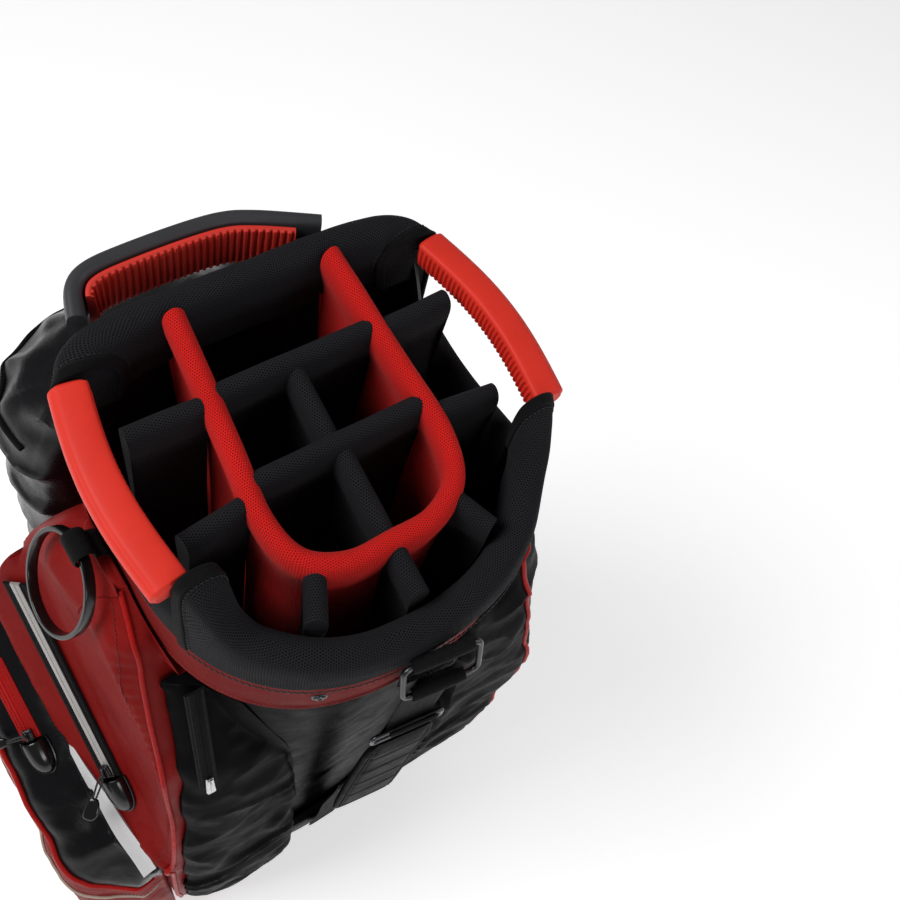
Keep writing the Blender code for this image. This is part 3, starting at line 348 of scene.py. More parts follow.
class Geo:
    """Collects quads and triangles, with a UV in metres at each corner."""

    def __init__(self):
        self.v, self.f, self.uv, self.mi = [], [], [], []

    def grid(self, P, close_u=False, close_v=False, cap0=False, cap1=False, mi=0, flip=False):
        P = np.asarray(P, float)
        m, n = P.shape[:2]
        base = len(self.v)
        self.v.extend(map(tuple, P.reshape(-1, 3)))
        du = np.r_[0, np.cumsum(np.linalg.norm(np.diff(P, axis=0), axis=2).mean(1))]
        Q = np.concatenate([P, P[:, :1]], 1)
        dv = np.concatenate([np.zeros((m, 1)), np.cumsum(np.linalg.norm(np.diff(Q, axis=1), axis=2), 1)], 1)
        if close_u:
            du = np.r_[du, du[-1] + np.linalg.norm(P[0] - P[-1], axis=1).mean()]
        dv = np.broadcast_to(dv.mean(0), dv.shape)
        for i in range(m if close_u else m - 1):
            i2 = (i + 1) % m
            for j in range(n if close_v else n - 1):
                j2 = (j + 1) % n
                f = [base + i * n + j, base + i * n + j2, base + i2 * n + j2, base + i2 * n + j]
                t = [(du[i], dv[i][j]), (du[i], dv[i][j + 1]), (du[i + 1], dv[i2][j + 1]), (du[i + 1], dv[i2][j])]
                if flip:
                    f, t = f[::-1], t[::-1]
                self.f.append(f)
                self.uv.extend(t)
                self.mi.append(mi if not callable(mi) else mi(i, j))
        for on, i in ((cap0, 0), (cap1, m - 1)):
            if on:
                c = P[i].mean(0)
                ci = len(self.v)
                self.v.append(tuple(c))
                for j in range(n if close_v else n - 1):
                    j2 = (j + 1) % n
                    f = [base + i * n + j, ci, base + i * n + j2] if i == 0 else [base + i * n + j, base + i * n + j2, ci]
                    r = float(np.linalg.norm(P[i][j] - c))
                    r2 = float(np.linalg.norm(P[i][j2] - c))
                    tt = {base + i * n + j: (du[i] + r, dv[i][j]), base + i * n + j2: (du[i] + r2, dv[i][j + 1]), ci: (du[i], dv[i][j])}
                    if flip:
                        f = f[::-1]
                    self.f.append(f)
                    self.uv.extend(tt[x] for x in f)
                    self.mi.append(mi if not callable(mi) else mi(min(i, m - 2), j))
        return self

    def mesh(self, name, angle=38.0):
        me = bpy.data.meshes.new(name)
        me.from_pydata(self.v, [], self.f)
        uvl = me.uv_layers.new(name="UVMap")
        uvl.data.foreach_set("uv", np.asarray(self.uv, np.float32).ravel())
        me.polygons.foreach_set("material_index", np.asarray(self.mi, np.int32))
        me.update()
        me.validate()
        me.shade_smooth()
        me.set_sharp_from_angle(angle=math.radians(angle))
        return me


def face_out(me):
    """Turn a closed mesh's faces outwards."""
    bm = bmesh.new()
    bm.from_mesh(me)
    bmesh.ops.recalc_face_normals(bm, faces=bm.faces)
    if bm.calc_volume(signed=True) < 0:
        bmesh.ops.reverse_faces(bm, faces=bm.faces)
    bm.to_mesh(me)
    bm.free()
    return me


def catmull(pts, per=8, closed=False):
    P = [np.asarray(p, float) for p in pts]
    n = len(P)
    out = []
    for i in range(n if closed else n - 1):
        if closed:
            p0, p1, p2, p3 = P[i - 1], P[i], P[(i + 1) % n], P[(i + 2) % n]
        else:
            p0, p1, p2, p3 = P[max(0, i - 1)], P[i], P[i + 1], P[min(n - 1, i + 2)]
        for k in range(per):
            t = k / per
            out.append(0.5 * ((2 * p1) + (p2 - p0) * t + (2 * p0 - 5 * p1 + 4 * p2 - p3) * t * t + (3 * p1 - 3 * p2 + p3 - p0) * t ** 3))
    if not closed:
        out.append(P[-1])
    return np.array(out)


def chaikin(pts, times=2, closed=True):
    P = np.asarray(pts, float)
    for _ in range(times):
        if closed:
            Q = np.roll(P, -1, 0)
            P = np.stack([P * 0.75 + Q * 0.25, P * 0.25 + Q * 0.75], 1).reshape(-1, P.shape[1])
        else:
            Q = P[1:]
            R = P[:-1]
            mid = np.stack([R * 0.75 + Q * 0.25, R * 0.25 + Q * 0.75], 1).reshape(-1, P.shape[1])
            P = np.concatenate([P[:1], mid[1:-1], P[-1:]])
    return P


def resample(pts, step=None, n=None, closed=False):
    P = np.asarray(pts, float)
    if closed:
        P = np.concatenate([P, P[:1]])
    d = np.r_[0, np.cumsum(np.linalg.norm(np.diff(P, axis=0), axis=1))]
    if n is None:
        n = max(2, int(round(d[-1] / step)) + 1)
    s = np.linspace(0, d[-1], n + (1 if closed else 0))
    out = np.stack([np.interp(s, d, P[:, k]) for k in range(P.shape[1])], 1)
    return out[:-1] if closed else out


def path_frames(P, up, closed=False):
    """Unit tangent, side and up at each point; up may be one vector or many."""
    P = np.asarray(P, float)
    n = len(P)
    if closed:
        t = np.roll(P, -1, 0) - np.roll(P, 1, 0)
    else:
        t = np.gradient(P, axis=0)
    t /= np.linalg.norm(t, axis=1)[:, None] + 1e-12
    u = np.broadcast_to(np.asarray(up, float), (n, 3))
    s = np.cross(t, u)
    s /= np.linalg.norm(s, axis=1)[:, None] + 1e-12
    u = np.cross(s, t)
    return t, s, u


def sweep(P, up, sec, closed=False):
    """Grid of a section (side, up) carried along P; sec(i) may vary."""
    t, s, u = path_frames(P, up, closed)
    out = []
    for i, p in enumerate(np.asarray(P, float)):
        q = np.asarray(sec(i) if callable(sec) else sec, float)
        out.append(p + q[:, :1] * s[i] + q[:, 1:2] * u[i])
    return np.array(out)


def circle(r, n=10, sy=1.0):
    a = np.arange(n) * 2 * math.pi / n
    return np.stack([r * np.cos(a), r * sy * np.sin(a)], 1)


def rrect(w, h, r, k=4):
    """Rounded rectangle section."""
    r = min(r, w / 2 - 1e-6, h / 2 - 1e-6)
    out = []
    for cx, cy, a0 in ((w / 2 - r, -h / 2 + r, -90), (w / 2 - r, h / 2 - r, 0), (-w / 2 + r, h / 2 - r, 90), (-w / 2 + r, -h / 2 + r, 180)):
        for i in range(k + 1):
            a = math.radians(a0 + 90 * i / k)
            out.append((cx + r * math.cos(a), cy + r * math.sin(a)))
    return np.array(out)


def any_up(P):
    """Transported up vectors for a free path."""
    P = np.asarray(P, float)
    t = np.gradient(P, axis=0)
    t /= np.linalg.norm(t, axis=1)[:, None] + 1e-12
    a = np.array((0, 0, 1.0)) if abs(t[0][2]) < 0.8 else np.array((1.0, 0, 0))
    out = []
    for k in range(len(P)):
        a = a - t[k] * a.dot(t[k])
        a /= np.linalg.norm(a)
        out.append(a)
    return np.array(out)


def tube(g, P, r, n=10, closed=False, mi=0):
    rr = (lambda i: circle(r(i / max(1, len(P) - 1)), n)) if callable(r) else circle(r, n)
    g.grid(sweep(P, any_up(P), rr, closed), close_u=closed, close_v=True, cap0=not closed, cap1=not closed, mi=mi)
    return g


def stitches(g, P, N, pitch=0.0036, length=0.0024, r=0.00038, lift=0.0002, mi=0, closed=False, slant=0.0):
    """Run of stitches laid on a path: small rounded threads that dip at their ends."""
    P = resample(P, step=pitch / 2, closed=closed)
    N = np.asarray(N, float)
    if N.ndim == 2:
        N = resample(N, n=len(P))
    else:
        N = np.broadcast_to(N, P.shape)
    for i in range(0, len(P) - 2, 2):
        c = P[i + 1] if i + 1 < len(P) else P[i]
        t = P[min(i + 2, len(P) - 1)] - P[i]
        L = np.linalg.norm(t)
        if L < 1e-9:
            continue
        t /= L
        nn = N[i] - t * N[i].dot(t)
        nn /= np.linalg.norm(nn) + 1e-12
        s = np.cross(t, nn)
        if slant:
            t = t + s * slant
            t /= np.linalg.norm(t)
        q = [c + t * (x * length) + nn * (lift + r * z) for x, z in ((-0.5, -1.2), (-0.32, 0.1), (0, 0.55), (0.32, 0.1), (0.5, -1.2))]
        rad = (0.35, 0.95, 1.0, 0.95, 0.35)
        rings = [[qq + (s * math.cos(a) + nn * math.sin(a)) * r * k for a in (0, 1.047, 2.094, 3.1416, 4.189, 5.236)] for qq, k in zip(q, rad)]
        g.grid(rings, close_v=True, mi=mi)
    return g


def rib(t, sharp=0.35):
    """Square-ish wave from 0 to 1 with soft flanks."""
    x = abs((t % 1.0) - 0.5) * 2
    return smooth((x - 0.5 + sharp / 2) / sharp)


def fbm(p, scale, seed=0.0, octaves=3):
    v = Vector((p[0] * scale + seed, p[1] * scale - seed * 0.7, p[2] * scale + seed * 0.3))
    s, a, f = 0.0, 1.0, 1.0
    for _ in range(octaves):
        s += noise.noise(v * f) * a
        a *= 0.5
        f *= 2.03
    return s


def ridged(p, scale, seed=0.0, stretch=(1, 1, 1)):
    """Soft folds: long crests with valleys between."""
    v = Vector((p[0] * scale * stretch[0] + seed, p[1] * scale * stretch[1] - seed, p[2] * scale * stretch[2] + seed))
    w = v + Vector((noise.noise(v * 0.7), noise.noise(v * 0.7 + Vector((7, 3, 1))), noise.noise(v * 0.7 + Vector((2, 9, 5))))) * 0.9
    return 1.0 - min(1.0, abs(noise.noise(w)) * 2.6)


# ================================================================ the bag's own shape
Z_MOUTH, TILT = 0.850, -0.3227
RIM_A, RIM_BB, RIM_BF, RIM_YC, RIM_N, RIM_M = 0.147, 0.148, 0.122, 0.010, 2.35, 6.0
BASE_A, BASE_BB, BASE_BF, BASE_M = 0.146, 0.104, 0.112, 3.0
Z_BASE, Z_FULL = 0.05, 0.77
C_OUT, C_SLOT, C_IN, C_LOW, C_LEG = 0.0052, 0.0104, 0.0240, 0.767, 0.050
CUFF_O, CUFF_I = 0.0028, 0.0052
TUBE_O, TUBE_I = 0.0104, 0.0136
LINER, BEAD_T, BEAD_H, PANEL_T, DIV_LOW = 0.0250, 0.0150, 0.020, 0.0044, 0.030


def outline(phi, z, off=0.0):
    t = min(1.0, max(0.0, (z - Z_BASE) / (Z_FULL - Z_BASE)))
    a = lerp(BASE_A, RIM_A, t) - off
    c, s = math.cos(phi), math.sin(phi)
    if s >= 0:
        b, e = lerp(BASE_BB, RIM_BB, t) - off, RIM_N
    else:
        b, e = lerp(BASE_BF, RIM_BF, t) - off, lerp(BASE_M, RIM_M, t)
    r = ((abs(c) / a) ** e + (abs(s) / b) ** e) ** (-1.0 / e)
    return np.array((r * c, lerp(0.0, RIM_YC, t) + r * s, z))


def phi_at_y(y, z, off=0.0, side=1):
    lo, hi = -math.pi / 2, math.pi / 2
    for _ in range(26):
        mid = (lo + hi) / 2
        if outline(mid, z, off)[1] < y:
            lo = mid
        else:
            hi = mid
    phi = (lo + hi) / 2
    return phi if side > 0 else math.pi - phi


def crest(y):
    return Z_MOUTH + TILT * y


PH_F = {s: phi_at_y(-0.0815, 0.86, 0.0, s) for s in (1, -1)}
PH_B = {s: phi_at_y(0.0715, 0.83, 0.0, s) for s in (1, -1)}


def side_edge(y):
    return 0.787 + 0.020 * min(1.0, abs((y + 0.005) / 0.078)) ** 2.2


def front_crest(phi):
    return crest(outline(phi, 0.88)[1])


def back_crest(phi):
    p = outline(phi, 0.82)
    d = min(np.linalg.norm(p[:2] - outline(PH_B[s], 0.82)[:2]) for s in (1, -1))
    return crest(p[1]) + 0.003 + 0.040 * (1 - smooth(d / 0.050))


def squared(phi, prof, ends):
    pts = []
    for o, h in prof:
        ph = phi
        for pe in ends:
            p0 = outline(pe, h)
            d = np.linalg.norm(outline(phi, h)[:2] - p0[:2])
            w = 1 - smooth(d / 0.035)
            if w > 0:
                side = 1 if math.cos(pe) > 0 else -1
                target = phi_at_y(p0[1], h, o, side)
                delta = math.atan2(math.sin(target - pe), math.cos(target - pe))
                ph = ph + delta * w
        pts.append(outline(ph, h, o))
    return pts


# ================================================================ mouth: collars, linings, cuff
D_GRID = 2 * math.pi / 96


def span(a0, a1, step=0.0105):
    n = int(abs(a1 - a0) / step)
    return [lerp(a0, a1, k / n) for k in range(n + 1)]


def offset_in(P, Q):
    return Q - P


def collar(name, node, a0, a1, top_fn, seed):
    rings = []
    ctrl0 = None
    for p in span(a0, a1):
        top = top_fn(p)
        mid = lerp(C_LOW, top, 0.5)
        puff = 0.0008 * noise.noise(Vector((p * 5, seed, 0)))
        prof = [(0.0004, C_LOW), (-0.0009, C_LOW + 0.007), (-0.0017 + puff, mid), (-0.0011, top - 0.014), (0.0006, top - 0.0062),
                (0.0048, top - 0.0012), (0.0108, top + 0.0007 + puff), (0.0170, top - 0.0003), (0.0222, top - 0.0046),
                (0.0249, top - 0.0130), (0.0252 + puff, top - 0.026), (0.0244, top - 0.040), (0.0236, top - C_LEG),
                (0.0106, top - C_LEG), (0.0106, top - 0.020), (0.0054, top - 0.020), (0.0054, C_LOW)]
        body = chaikin(prof[:13], 3, closed=False)
        prof = [tuple(x) for x in body] + prof[13:]
        rings.append(squared(p, prof, (a0, a1)))
    P = np.array(rings)
    # soft dents of foam under mesh
    n_soft = len(P[0]) - 4
    for i in range(1, len(P) - 1):
        for j in range(1, n_soft, 1):
            q = P[i, j]
            c = outline(math.atan2(q[1] - RIM_YC, q[0]), q[2], 0.012)
            d = q - c
            d /= np.linalg.norm(d) + 1e-9
            P[i, j] = q + d * 0.0007 * fbm(q, 34, seed, 2)
    g = Geo().grid(P, close_v=True, cap0=True, cap1=True)
    me = face_out(g.mesh(name, 50))
    link(name, me, "mesh_black", replaces=(node,))
    return P, n_soft


CF = collar("collar_front_padded", "collar_front", PH_F[1], -math.pi - PH_F[1], front_crest, 1.3)
CB = collar("collar_back_padded", "collar_back", PH_B[1], math.pi - PH_B[1], back_crest, 4.7)

# bound edges at the collar ends, over the grips' roots
g = Geo()
for P, ns in (CF, CB):
    for i, sgn in ((0, 1), (len(P) - 1, -1)):
        edge = P[i, 1:ns - 1]
        inward = P[i + 3 * sgn, 1:ns - 1] - edge
        inward /= np.linalg.norm(inward, axis=1)[:, None]
        path = resample(edge + inward * 0.0012, step=0.0012)
        up = resample(inward, n=len(path))
        g.grid(sweep(path, up, rrect(0.0034, 0.0078, 0.0014, 3)), close_v=True, cap0=True, cap1=True)
link("collar_end_binding", g.mesh("collar_end_binding"), "binding_black")

g = Geo()
for P, ns in (CF, CB):
    for i, sgn in ((0, 1), (len(P) - 1, -1)):
        edge = P[i, 2:ns - 2]
        inward = P[i + 4 * sgn, 2:ns - 2] - edge
        inward /= np.linalg.norm(inward, axis=1)[:, None]
        c = P[i, :ns].mean(0)
        nn = edge - c
        nn -= inward * (nn * inward).sum(1)[:, None]
        stitches(g, edge + inward * 0.0074, nn, 0.0034, 0.0024, 0.0004, 0.0003, slant=0.5)
# zig-zag overlock where the collars meet the cuff, and the lining's bottom seam
zz = []
k = 0
for P, ns in (CF, CB):
    base = resample(P[2:-2, 1] , step=0.0022)
    pts = []
    for i, q in enumerate(base):
        c = outline(math.atan2(q[1] - RIM_YC, q[0]), q[2], -0.0018)
        pts.append((c[0], c[1], C_LOW + 0.0005 + (0.0030 if i % 2 else 0.0)))
    tube(g, pts, 0.00045, 5)
link("collar_stitching", g.mesh("collar_stitching"), "thread_black")

# thin mesh linings over the low walls under the grips
for s, side in ((1, "right"), (-1, "left")):
    a0, a1 = PH_F[1] + 0.06, PH_B[1] - 0.035
    rings = []
    for c in span(a0, a1, 0.012):
        phi = c if s > 0 else math.pi - c
        top = side_edge(outline(phi, 0.80)[1])
        prof = [(0.0009, 0.7695), (0.0006, top - 0.016), (0.0012, top - 0.005), (0.0036, top - 0.0008), (0.0078, top + 0.0006),
                (0.0118, top - 0.0010), (0.0140, top - 0.0056), (0.0146, top - 0.020), (0.0142, 0.722), (0.0106, 0.722), (0.0106, top - 0.006),
                (0.0054, top - 0.006), (0.0054, 0.7695)]
        body = chaikin(prof[:9], 3, closed=False)
        rings.append([outline(phi, h, o) for o, h in [tuple(x) for x in body] + prof[9:]])
    gg = Geo().grid(rings, close_v=True, cap0=True, cap1=True)
    link("side_lining_%s_mesh" % side, face_out(gg.mesh("side_lining_" + side, 50)), "mesh_black", replaces=("side_lining_" + side,))

# cuff: coated band with a turned hem
rings = []
N = 420
for k in range(N):
    p = 2 * math.pi * k / N
    lo = 0.700 + 0.010 * math.sin(p)
    hi = C_LOW - 0.0004
    w = 0.00035 * noise.noise(Vector((math.cos(p) * 9, math.sin(p) * 9, 3)))
    prof = [(0.0046, lo), (0.0030, lo - 0.0004), (0.0020, lo + 0.0008), (0.0018, lo + 0.0030), (0.0026 + w, lo + 0.0050), (0.0021 + w, lo + 0.016),
            (0.0018 + w, (lo + hi) / 2), (0.0021, hi - 0.010), (0.0025, hi - 0.002), (0.0032, hi), (0.0050, hi), (0.0052, (lo + hi) / 2)]
    rings.append([outline(p, h, o) for o, h in prof])
gg = Geo().grid(rings, close_u=True, close_v=True)
link("cuff_band_cloth", face_out(gg.mesh("cuff_band")), "cuff_red", replaces=("cuff_band",))
g = Geo()
for dz, off in ((0.0048, 0.0023), (0.0585, 0.0020)):
    P, Q = [], []
    for k in range(720):
        p = 2 * math.pi * k / 720
        lo = 0.700 + 0.010 * math.sin(p)
        z = lo + dz if dz < 0.02 else C_LOW - 0.0055
        c = outline(p, z, off)
        P.append(c)
        Q.append((c[0], c[1] - RIM_YC, 0))
    stitches(g, P, Q, 0.0034, 0.0023, 0.00034, -0.0001, closed=True)
link("cuff_stitching", g.mesh("cuff_stitching"), "thread_red")

# screws: flanged washer, domed head, hexagonal socket
for phi, side in ((math.radians(60), "right"), (math.radians(120), "left")):
    c = outline(phi, 0.742, CUFF_O)
    t = outline(phi + 0.01, 0.742, CUFF_O) - c
    t /= np.linalg.norm(t)
    nn = np.cross(t, (0, 0, 1))
    nn /= np.linalg.norm(nn)
    if nn.dot(c - np.array((0, RIM_YC, 0.742))) < 0:
        nn = -nn
    rings = []
    for r, d, hexy in ((0.0056, -0.0004, 0), (0.0057, 0.0010, 0), (0.0052, 0.0019, 0), (0.0044, 0.0019, 0), (0.0041, 0.0009, 0), (0.0036, 0.0009, 0),
                       (0.0034, 0.0024, 0), (0.0028, 0.0031, 0), (0.0018, 0.0033, 1), (0.0017, 0.0008, 1), (0.0002, 0.0007, 0)):
        ring = []
        for q in range(36):
            a = 2 * math.pi * q / 36
            rr = r
            if hexy:
                b = (a % (math.pi / 3)) - math.pi / 6
                rr = r * math.cos(math.pi / 6) / math.cos(b)
            ring.append(c + nn * d + (t * math.cos(a) + np.array((0, 0, 1)) * math.sin(a)) * rr)
        rings.append(ring)
    gg = Geo().grid(rings, close_v=True, cap0=True, cap1=True)
    link("cuff_screw_%s_detail" % side, face_out(gg.mesh("screw_" + side, 30)), "metal_dark", replaces=("cuff_screw_" + side,))

# ================================================================ grips and front handle
GY0, GY1 = -0.0775, 0.0680
for s, side in ((1, "right"), (-1, "left")):
    pts = []
    n = 300
    for i in range(n + 1):
        t = i / n
        bow = math.sin(math.pi * t)
        pts.append((s * (lerp(0.1345, 0.1400, t) + 0.0085 * bow), lerp(GY0, GY1, t), lerp(0.8650, 0.8530, t) + 0.003 * bow))
    base = np.array([(-0.0125, -0.009), (-0.0085, -0.012), (0.0075, -0.012), (0.0130, -0.008), (0.0140, 0.002), (0.0118, 0.0072),
                     (0.0080, 0.0102), (-0.0088, 0.0117), (-0.0126, 0.0086)])
    sec = chaikin(base, 3)

    def section(i, sec=sec, s=s, n=n):
        t = i / n
        q = sec.copy()
        L = 0.1470 * t
        fade = smooth(t / 0.05) * smooth((1 - t) / 0.05)
        r = rib(L / 0.0042, 0.45) * fade
        # finger ribs along the inner flank
        inner = np.clip((-q[:, 0] - 0.0085) / 0.0035, 0, 1) * np.clip((0.0080 - q[:, 1]) / 0.004, 0, 1)
        q[:, 0] += inner * 0.0016 * (1 - r)
        # a shallow groove along the outer bevel
        gr = np.exp(-((q[:, 0] - 0.0100) / 0.0012) ** 2) * (q[:, 1] > 0.004)
        q[:, 1] -= gr * 0.0006 * fade
        e = smooth(t / 0.018) * smooth((1 - t) / 0.018)
        q = q * (0.80 + 0.20 * e)
        q[:, 0] *= s
        return q
    P = sweep(pts, (0, 0, 1), section)
    gg = Geo().grid(P, close_v=True, cap0=True, cap1=True)
    link("side_handle_%s_grip" % side, face_out(gg.mesh("grip_" + side, 45)), "grip_red", replaces=("side_handle_" + side,))

HP = [(0.1110, -0.1165), (0.1040, -0.1385), (0.0900, -0.1480), (0.0600, -0.1500), (0.0200, -0.1505),
      (-0.0100, -0.1485), (-0.0300, -0.1405), (-0.0500, -0.1300), (-0.0690, -0.1196)]
hp = np.array([(x, y, 0.866 - 0.10 * (y + 0.15)) for x, y in HP])
hpd = resample(chaikin(hp, 3, closed=False), step=0.0012)
sec = chaikin([(-0.0060, -0.021), (0.0060, -0.021), (0.0066, 0.010), (0.0052, 0.0185), (0.0010, 0.0212), (-0.0050, 0.0195), (-0.0066, 0.012)], 3)
P = sweep(hpd, (0, 0, 1), np.stack([-sec[:, 0], sec[:, 1]], 1))
gg = Geo().grid(P, close_v=True, cap0=True, cap1=True)
link("front_handle_frame_moulded", face_out(gg.mesh("front_handle_frame")), "handle_grey", replaces=("front_handle_frame",))
t_, s_, u_ = path_frames(hpd, (0, 0, 1))
mid = len(hpd) // 2
side_sign = 1 if (np.array((0.02, -0.11, 0.86)) - hpd[mid]).dot(s_[mid]) > 0 else -1
a_, b_ = int(len(hpd) * 0.085), int(len(hpd) * 0.915)
lp = resample((hpd + s_ * side_sign * 0.0096)[a_:b_], step=0.00055)


def liner_sec(i):
    L = i * 0.00055
    r = rib(L / 0.0050, 0.4)
    q = rrect(0.0036, 0.0345, 0.0012, 3).copy()
    face = (q[:, 0] * side_sign > 0) & (np.abs(q[:, 1]) < 0.0162)
    q[face, 0] += side_sign * 0.0016 * r
    return q


gg = Geo().grid(sweep(lp, (0, 0, 1), liner_sec), close_v=True, cap0=True, cap1=True)
link("front_handle_liner_ribbed", face_out(gg.mesh("front_handle_liner", 50)), "liner_red", replaces=("front_handle_liner",))


# ================================================================ dividers
def depth_map(x, y, z):
    t = min(1.0, max(0.0, (z - Z_BASE) / (Z_FULL - Z_BASE)))
    bb = lerp(BASE_BB, RIM_BB, t) - LINER
    bf = lerp(BASE_BF, RIM_BF, t) - LINER
    a = lerp(BASE_A, RIM_A, t) - LINER
    yy = y - RIM_YC
    k = bb / (RIM_BB - LINER) if yy >= 0 else bf / (RIM_BF - LINER)
    return (x * a / (RIM_A - LINER), lerp(0.0, RIM_YC, t) + yy * k, z)


def divider(name, node, pts, mat, drop, seed, ends=(0.0, 0.0), fat=1.0):
    P = resample(np.array([(p[0], p[1], 0.0) for p in pts]), step=0.0026)
    d0, d1 = P[0] - P[1], P[-1] - P[-2]
    P[0] += d0 / np.linalg.norm(d0) * ends[0]
    P[-1] += d1 / np.linalg.norm(d1) * ends[1]
    P = resample(P, step=0.0026)
    t, s, u = path_frames(P, (0, 0, 1))
    rings = []
    n = len(P)
    for i in range(n):
        p = P[i]
        wob = noise.noise(Vector((p[0] * 26, p[1] * 26, seed)))
        top = Z_MOUTH + 0.0122 + TILT * p[1] - drop + 0.0011 * wob
        w = BEAD_T / 2 * fat * (1.04 + 0.05 * noise.noise(Vector((p[0] * 30, p[1] * 30, seed + 5))))
        v = PANEL_T / 2
        prof = [(v, DIV_LOW), (v, 0.25), (v, 0.55), (v, top - 0.075), (v * 1.1, top - 0.046), (w * 0.62, top - 0.031), (w * 0.96, top - 0.021),
                (w * 1.03, top - 0.011), (w * 0.84, top - 0.0040), (w * 0.42, top - 0.0006), (0.0, top + 0.0004)]
        half = chaikin(prof, 2, closed=False)
        full = [(-a, z) for a, z in half] + [(a, z) for a, z in half[-2::-1]]
        ring = []
        for a, z in full:
            q = p + s[i] * a
            ring.append(depth_map(q[0], q[1], z))
        rings.append(ring)
    gg = Geo().grid(rings, close_v=True, cap0=True, cap1=True)
    link(name, face_out(gg.mesh(name, 55)), mat, replaces=(node,))


def u_path():
    ctrl = [(0.0585, -0.0840), (0.0610, -0.0500), (0.0650, 0.0000), (0.0690, 0.0450), (0.0600, 0.0780), (0.0330, 0.0935), (0.0, 0.0945)]
    ctrl += [(-x, y) for x, y in ctrl[-2::-1]]
    return catmull(ctrl, 6)


UP = u_path()
divider("divider_u_padded", "divider_u", UP, "mesh_red", 0.0, 2.0, (0.004, 0.004), 1.03)
H = BEAD_T / 2 + 0.0005


def leg_x(y):
    xs = []
    for p, q in zip(UP, UP[1:]):
        if p[0] > 0 and q[0] > 0 and p[1] <= y <= q[1]:
            xs.append(lerp(p[0], q[0], (y - p[1]) / (q[1] - p[1])))
    return min(xs)


for nm, y in (("front", -0.0340), ("back", 0.0245)):
    x = leg_x(y) - H
    divider("divider_cross_%s_padded" % nm, "divider_cross_" + nm, [(x, y), (0, y), (-x, y)], "mesh_black", 0.002, 3.0 + y, (0.004, 0.004))
divider("divider_mid_front_padded", "divider_mid_front", [(0.003, -0.0340 + H), (0.003, 0.0245 - H)], "mesh_black", 0.006, 6.0, (0.004, 0.004))
divider("divider_mid_back_padded", "divider_mid_back", [(0.0, 0.0245 + H), (0.0, 0.0945 - H)], "mesh_black", 0.006, 8.0, (0.004, 0.004))


def spoke(nm, a, b, seed):
    a, b = np.array(a), np.array(b)
    d = (b - a) / np.linalg.norm(b - a)
    a = a + d * (H + 0.0012)
    lo, hi = 0.0, 0.2
    for _ in range(30):
        m_ = (lo + hi) / 2
        q = a + d * m_
        tt = q - np.array((0, RIM_YC))
        ph = math.atan2(tt[1], tt[0])
        if np.linalg.norm(tt) < np.linalg.norm(outline(ph, 0.84, LINER + 0.0045)[:2] - np.array((0, RIM_YC))):
            lo = m_
        else:
            hi = m_
    divider("divider_spoke_%s_padded" % nm, "divider_spoke_" + nm, [a, a + d * lo], "mesh_black", 0.004, seed, (0.004, 0.0035))


spoke("front_right", (0.0635, -0.0310), (0.1300, -0.0330), 11)
spoke("mid_right", (0.0685, 0.0330), (0.1350, 0.0400), 12)
spoke("back_right", (0.0520, 0.0845), (0.0760, 0.1300), 13)
spoke("back", (0.0, 0.0945), (0.0, 0.1500), 14)
spoke("back_left", (-0.0520, 0.0845), (-0.0760, 0.1300), 15)
spoke("mid_left", (-0.0685, 0.0330), (-0.1350, 0.0400), 16)
spoke("front_left", (-0.0635, -0.0310), (-0.1300, -0.0330), 17)


# ================================================================ shell: tube, tray, sole, pockets
def out_np(phi, z, off):
    """outline() over arrays of angles and heights."""
    t = np.clip((z - Z_BASE) / (Z_FULL - Z_BASE), 0, 1)
    a = BASE_A + (RIM_A - BASE_A) * t - off
    c, s = np.cos(phi), np.sin(phi)
    pos = s >= 0
    b = np.where(pos, BASE_BB + (RIM_BB - BASE_BB) * t, BASE_BF + (RIM_BF - BASE_BF) * t) - off
    e = np.where(pos, RIM_N, BASE_M + (RIM_M - BASE_M) * t)
    r = ((np.abs(c) / a) ** e + (np.abs(s) / b) ** e) ** (-1.0 / e)
    return r, RIM_YC * t


def wrinkled(P, amp, scale, seed, mask=None, stretch=(1, 1, 1), fine=0.0):
    """Move a grid's points along its normals by soft folds."""
    du = np.gradient(P, axis=0)
    dv = np.roll(P, -1, 1) - np.roll(P, 1, 1)
    N = np.cross(du, dv)
    N /= np.linalg.norm(N, axis=2)[:, :, None] + 1e-12
    c = P.reshape(-1, 3).mean(0)
    if (N * (P - c)).sum() < 0:
        N = -N
    out = P.copy()
    m, n = P.shape[:2]
    for i in range(m):
        for j in range(n):
            k = 1.0 if mask is None else mask[i, j]
            if k <= 0.001:
                continue
            q = P[i, j]
            d = amp * (ridged(q, scale, seed, stretch) - 0.45)
            if fine:
                d += fine * fbm(q, scale * 4.2, seed + 3, 2)
            out[i, j] = q + N[i, j] * d * k
    return out, N


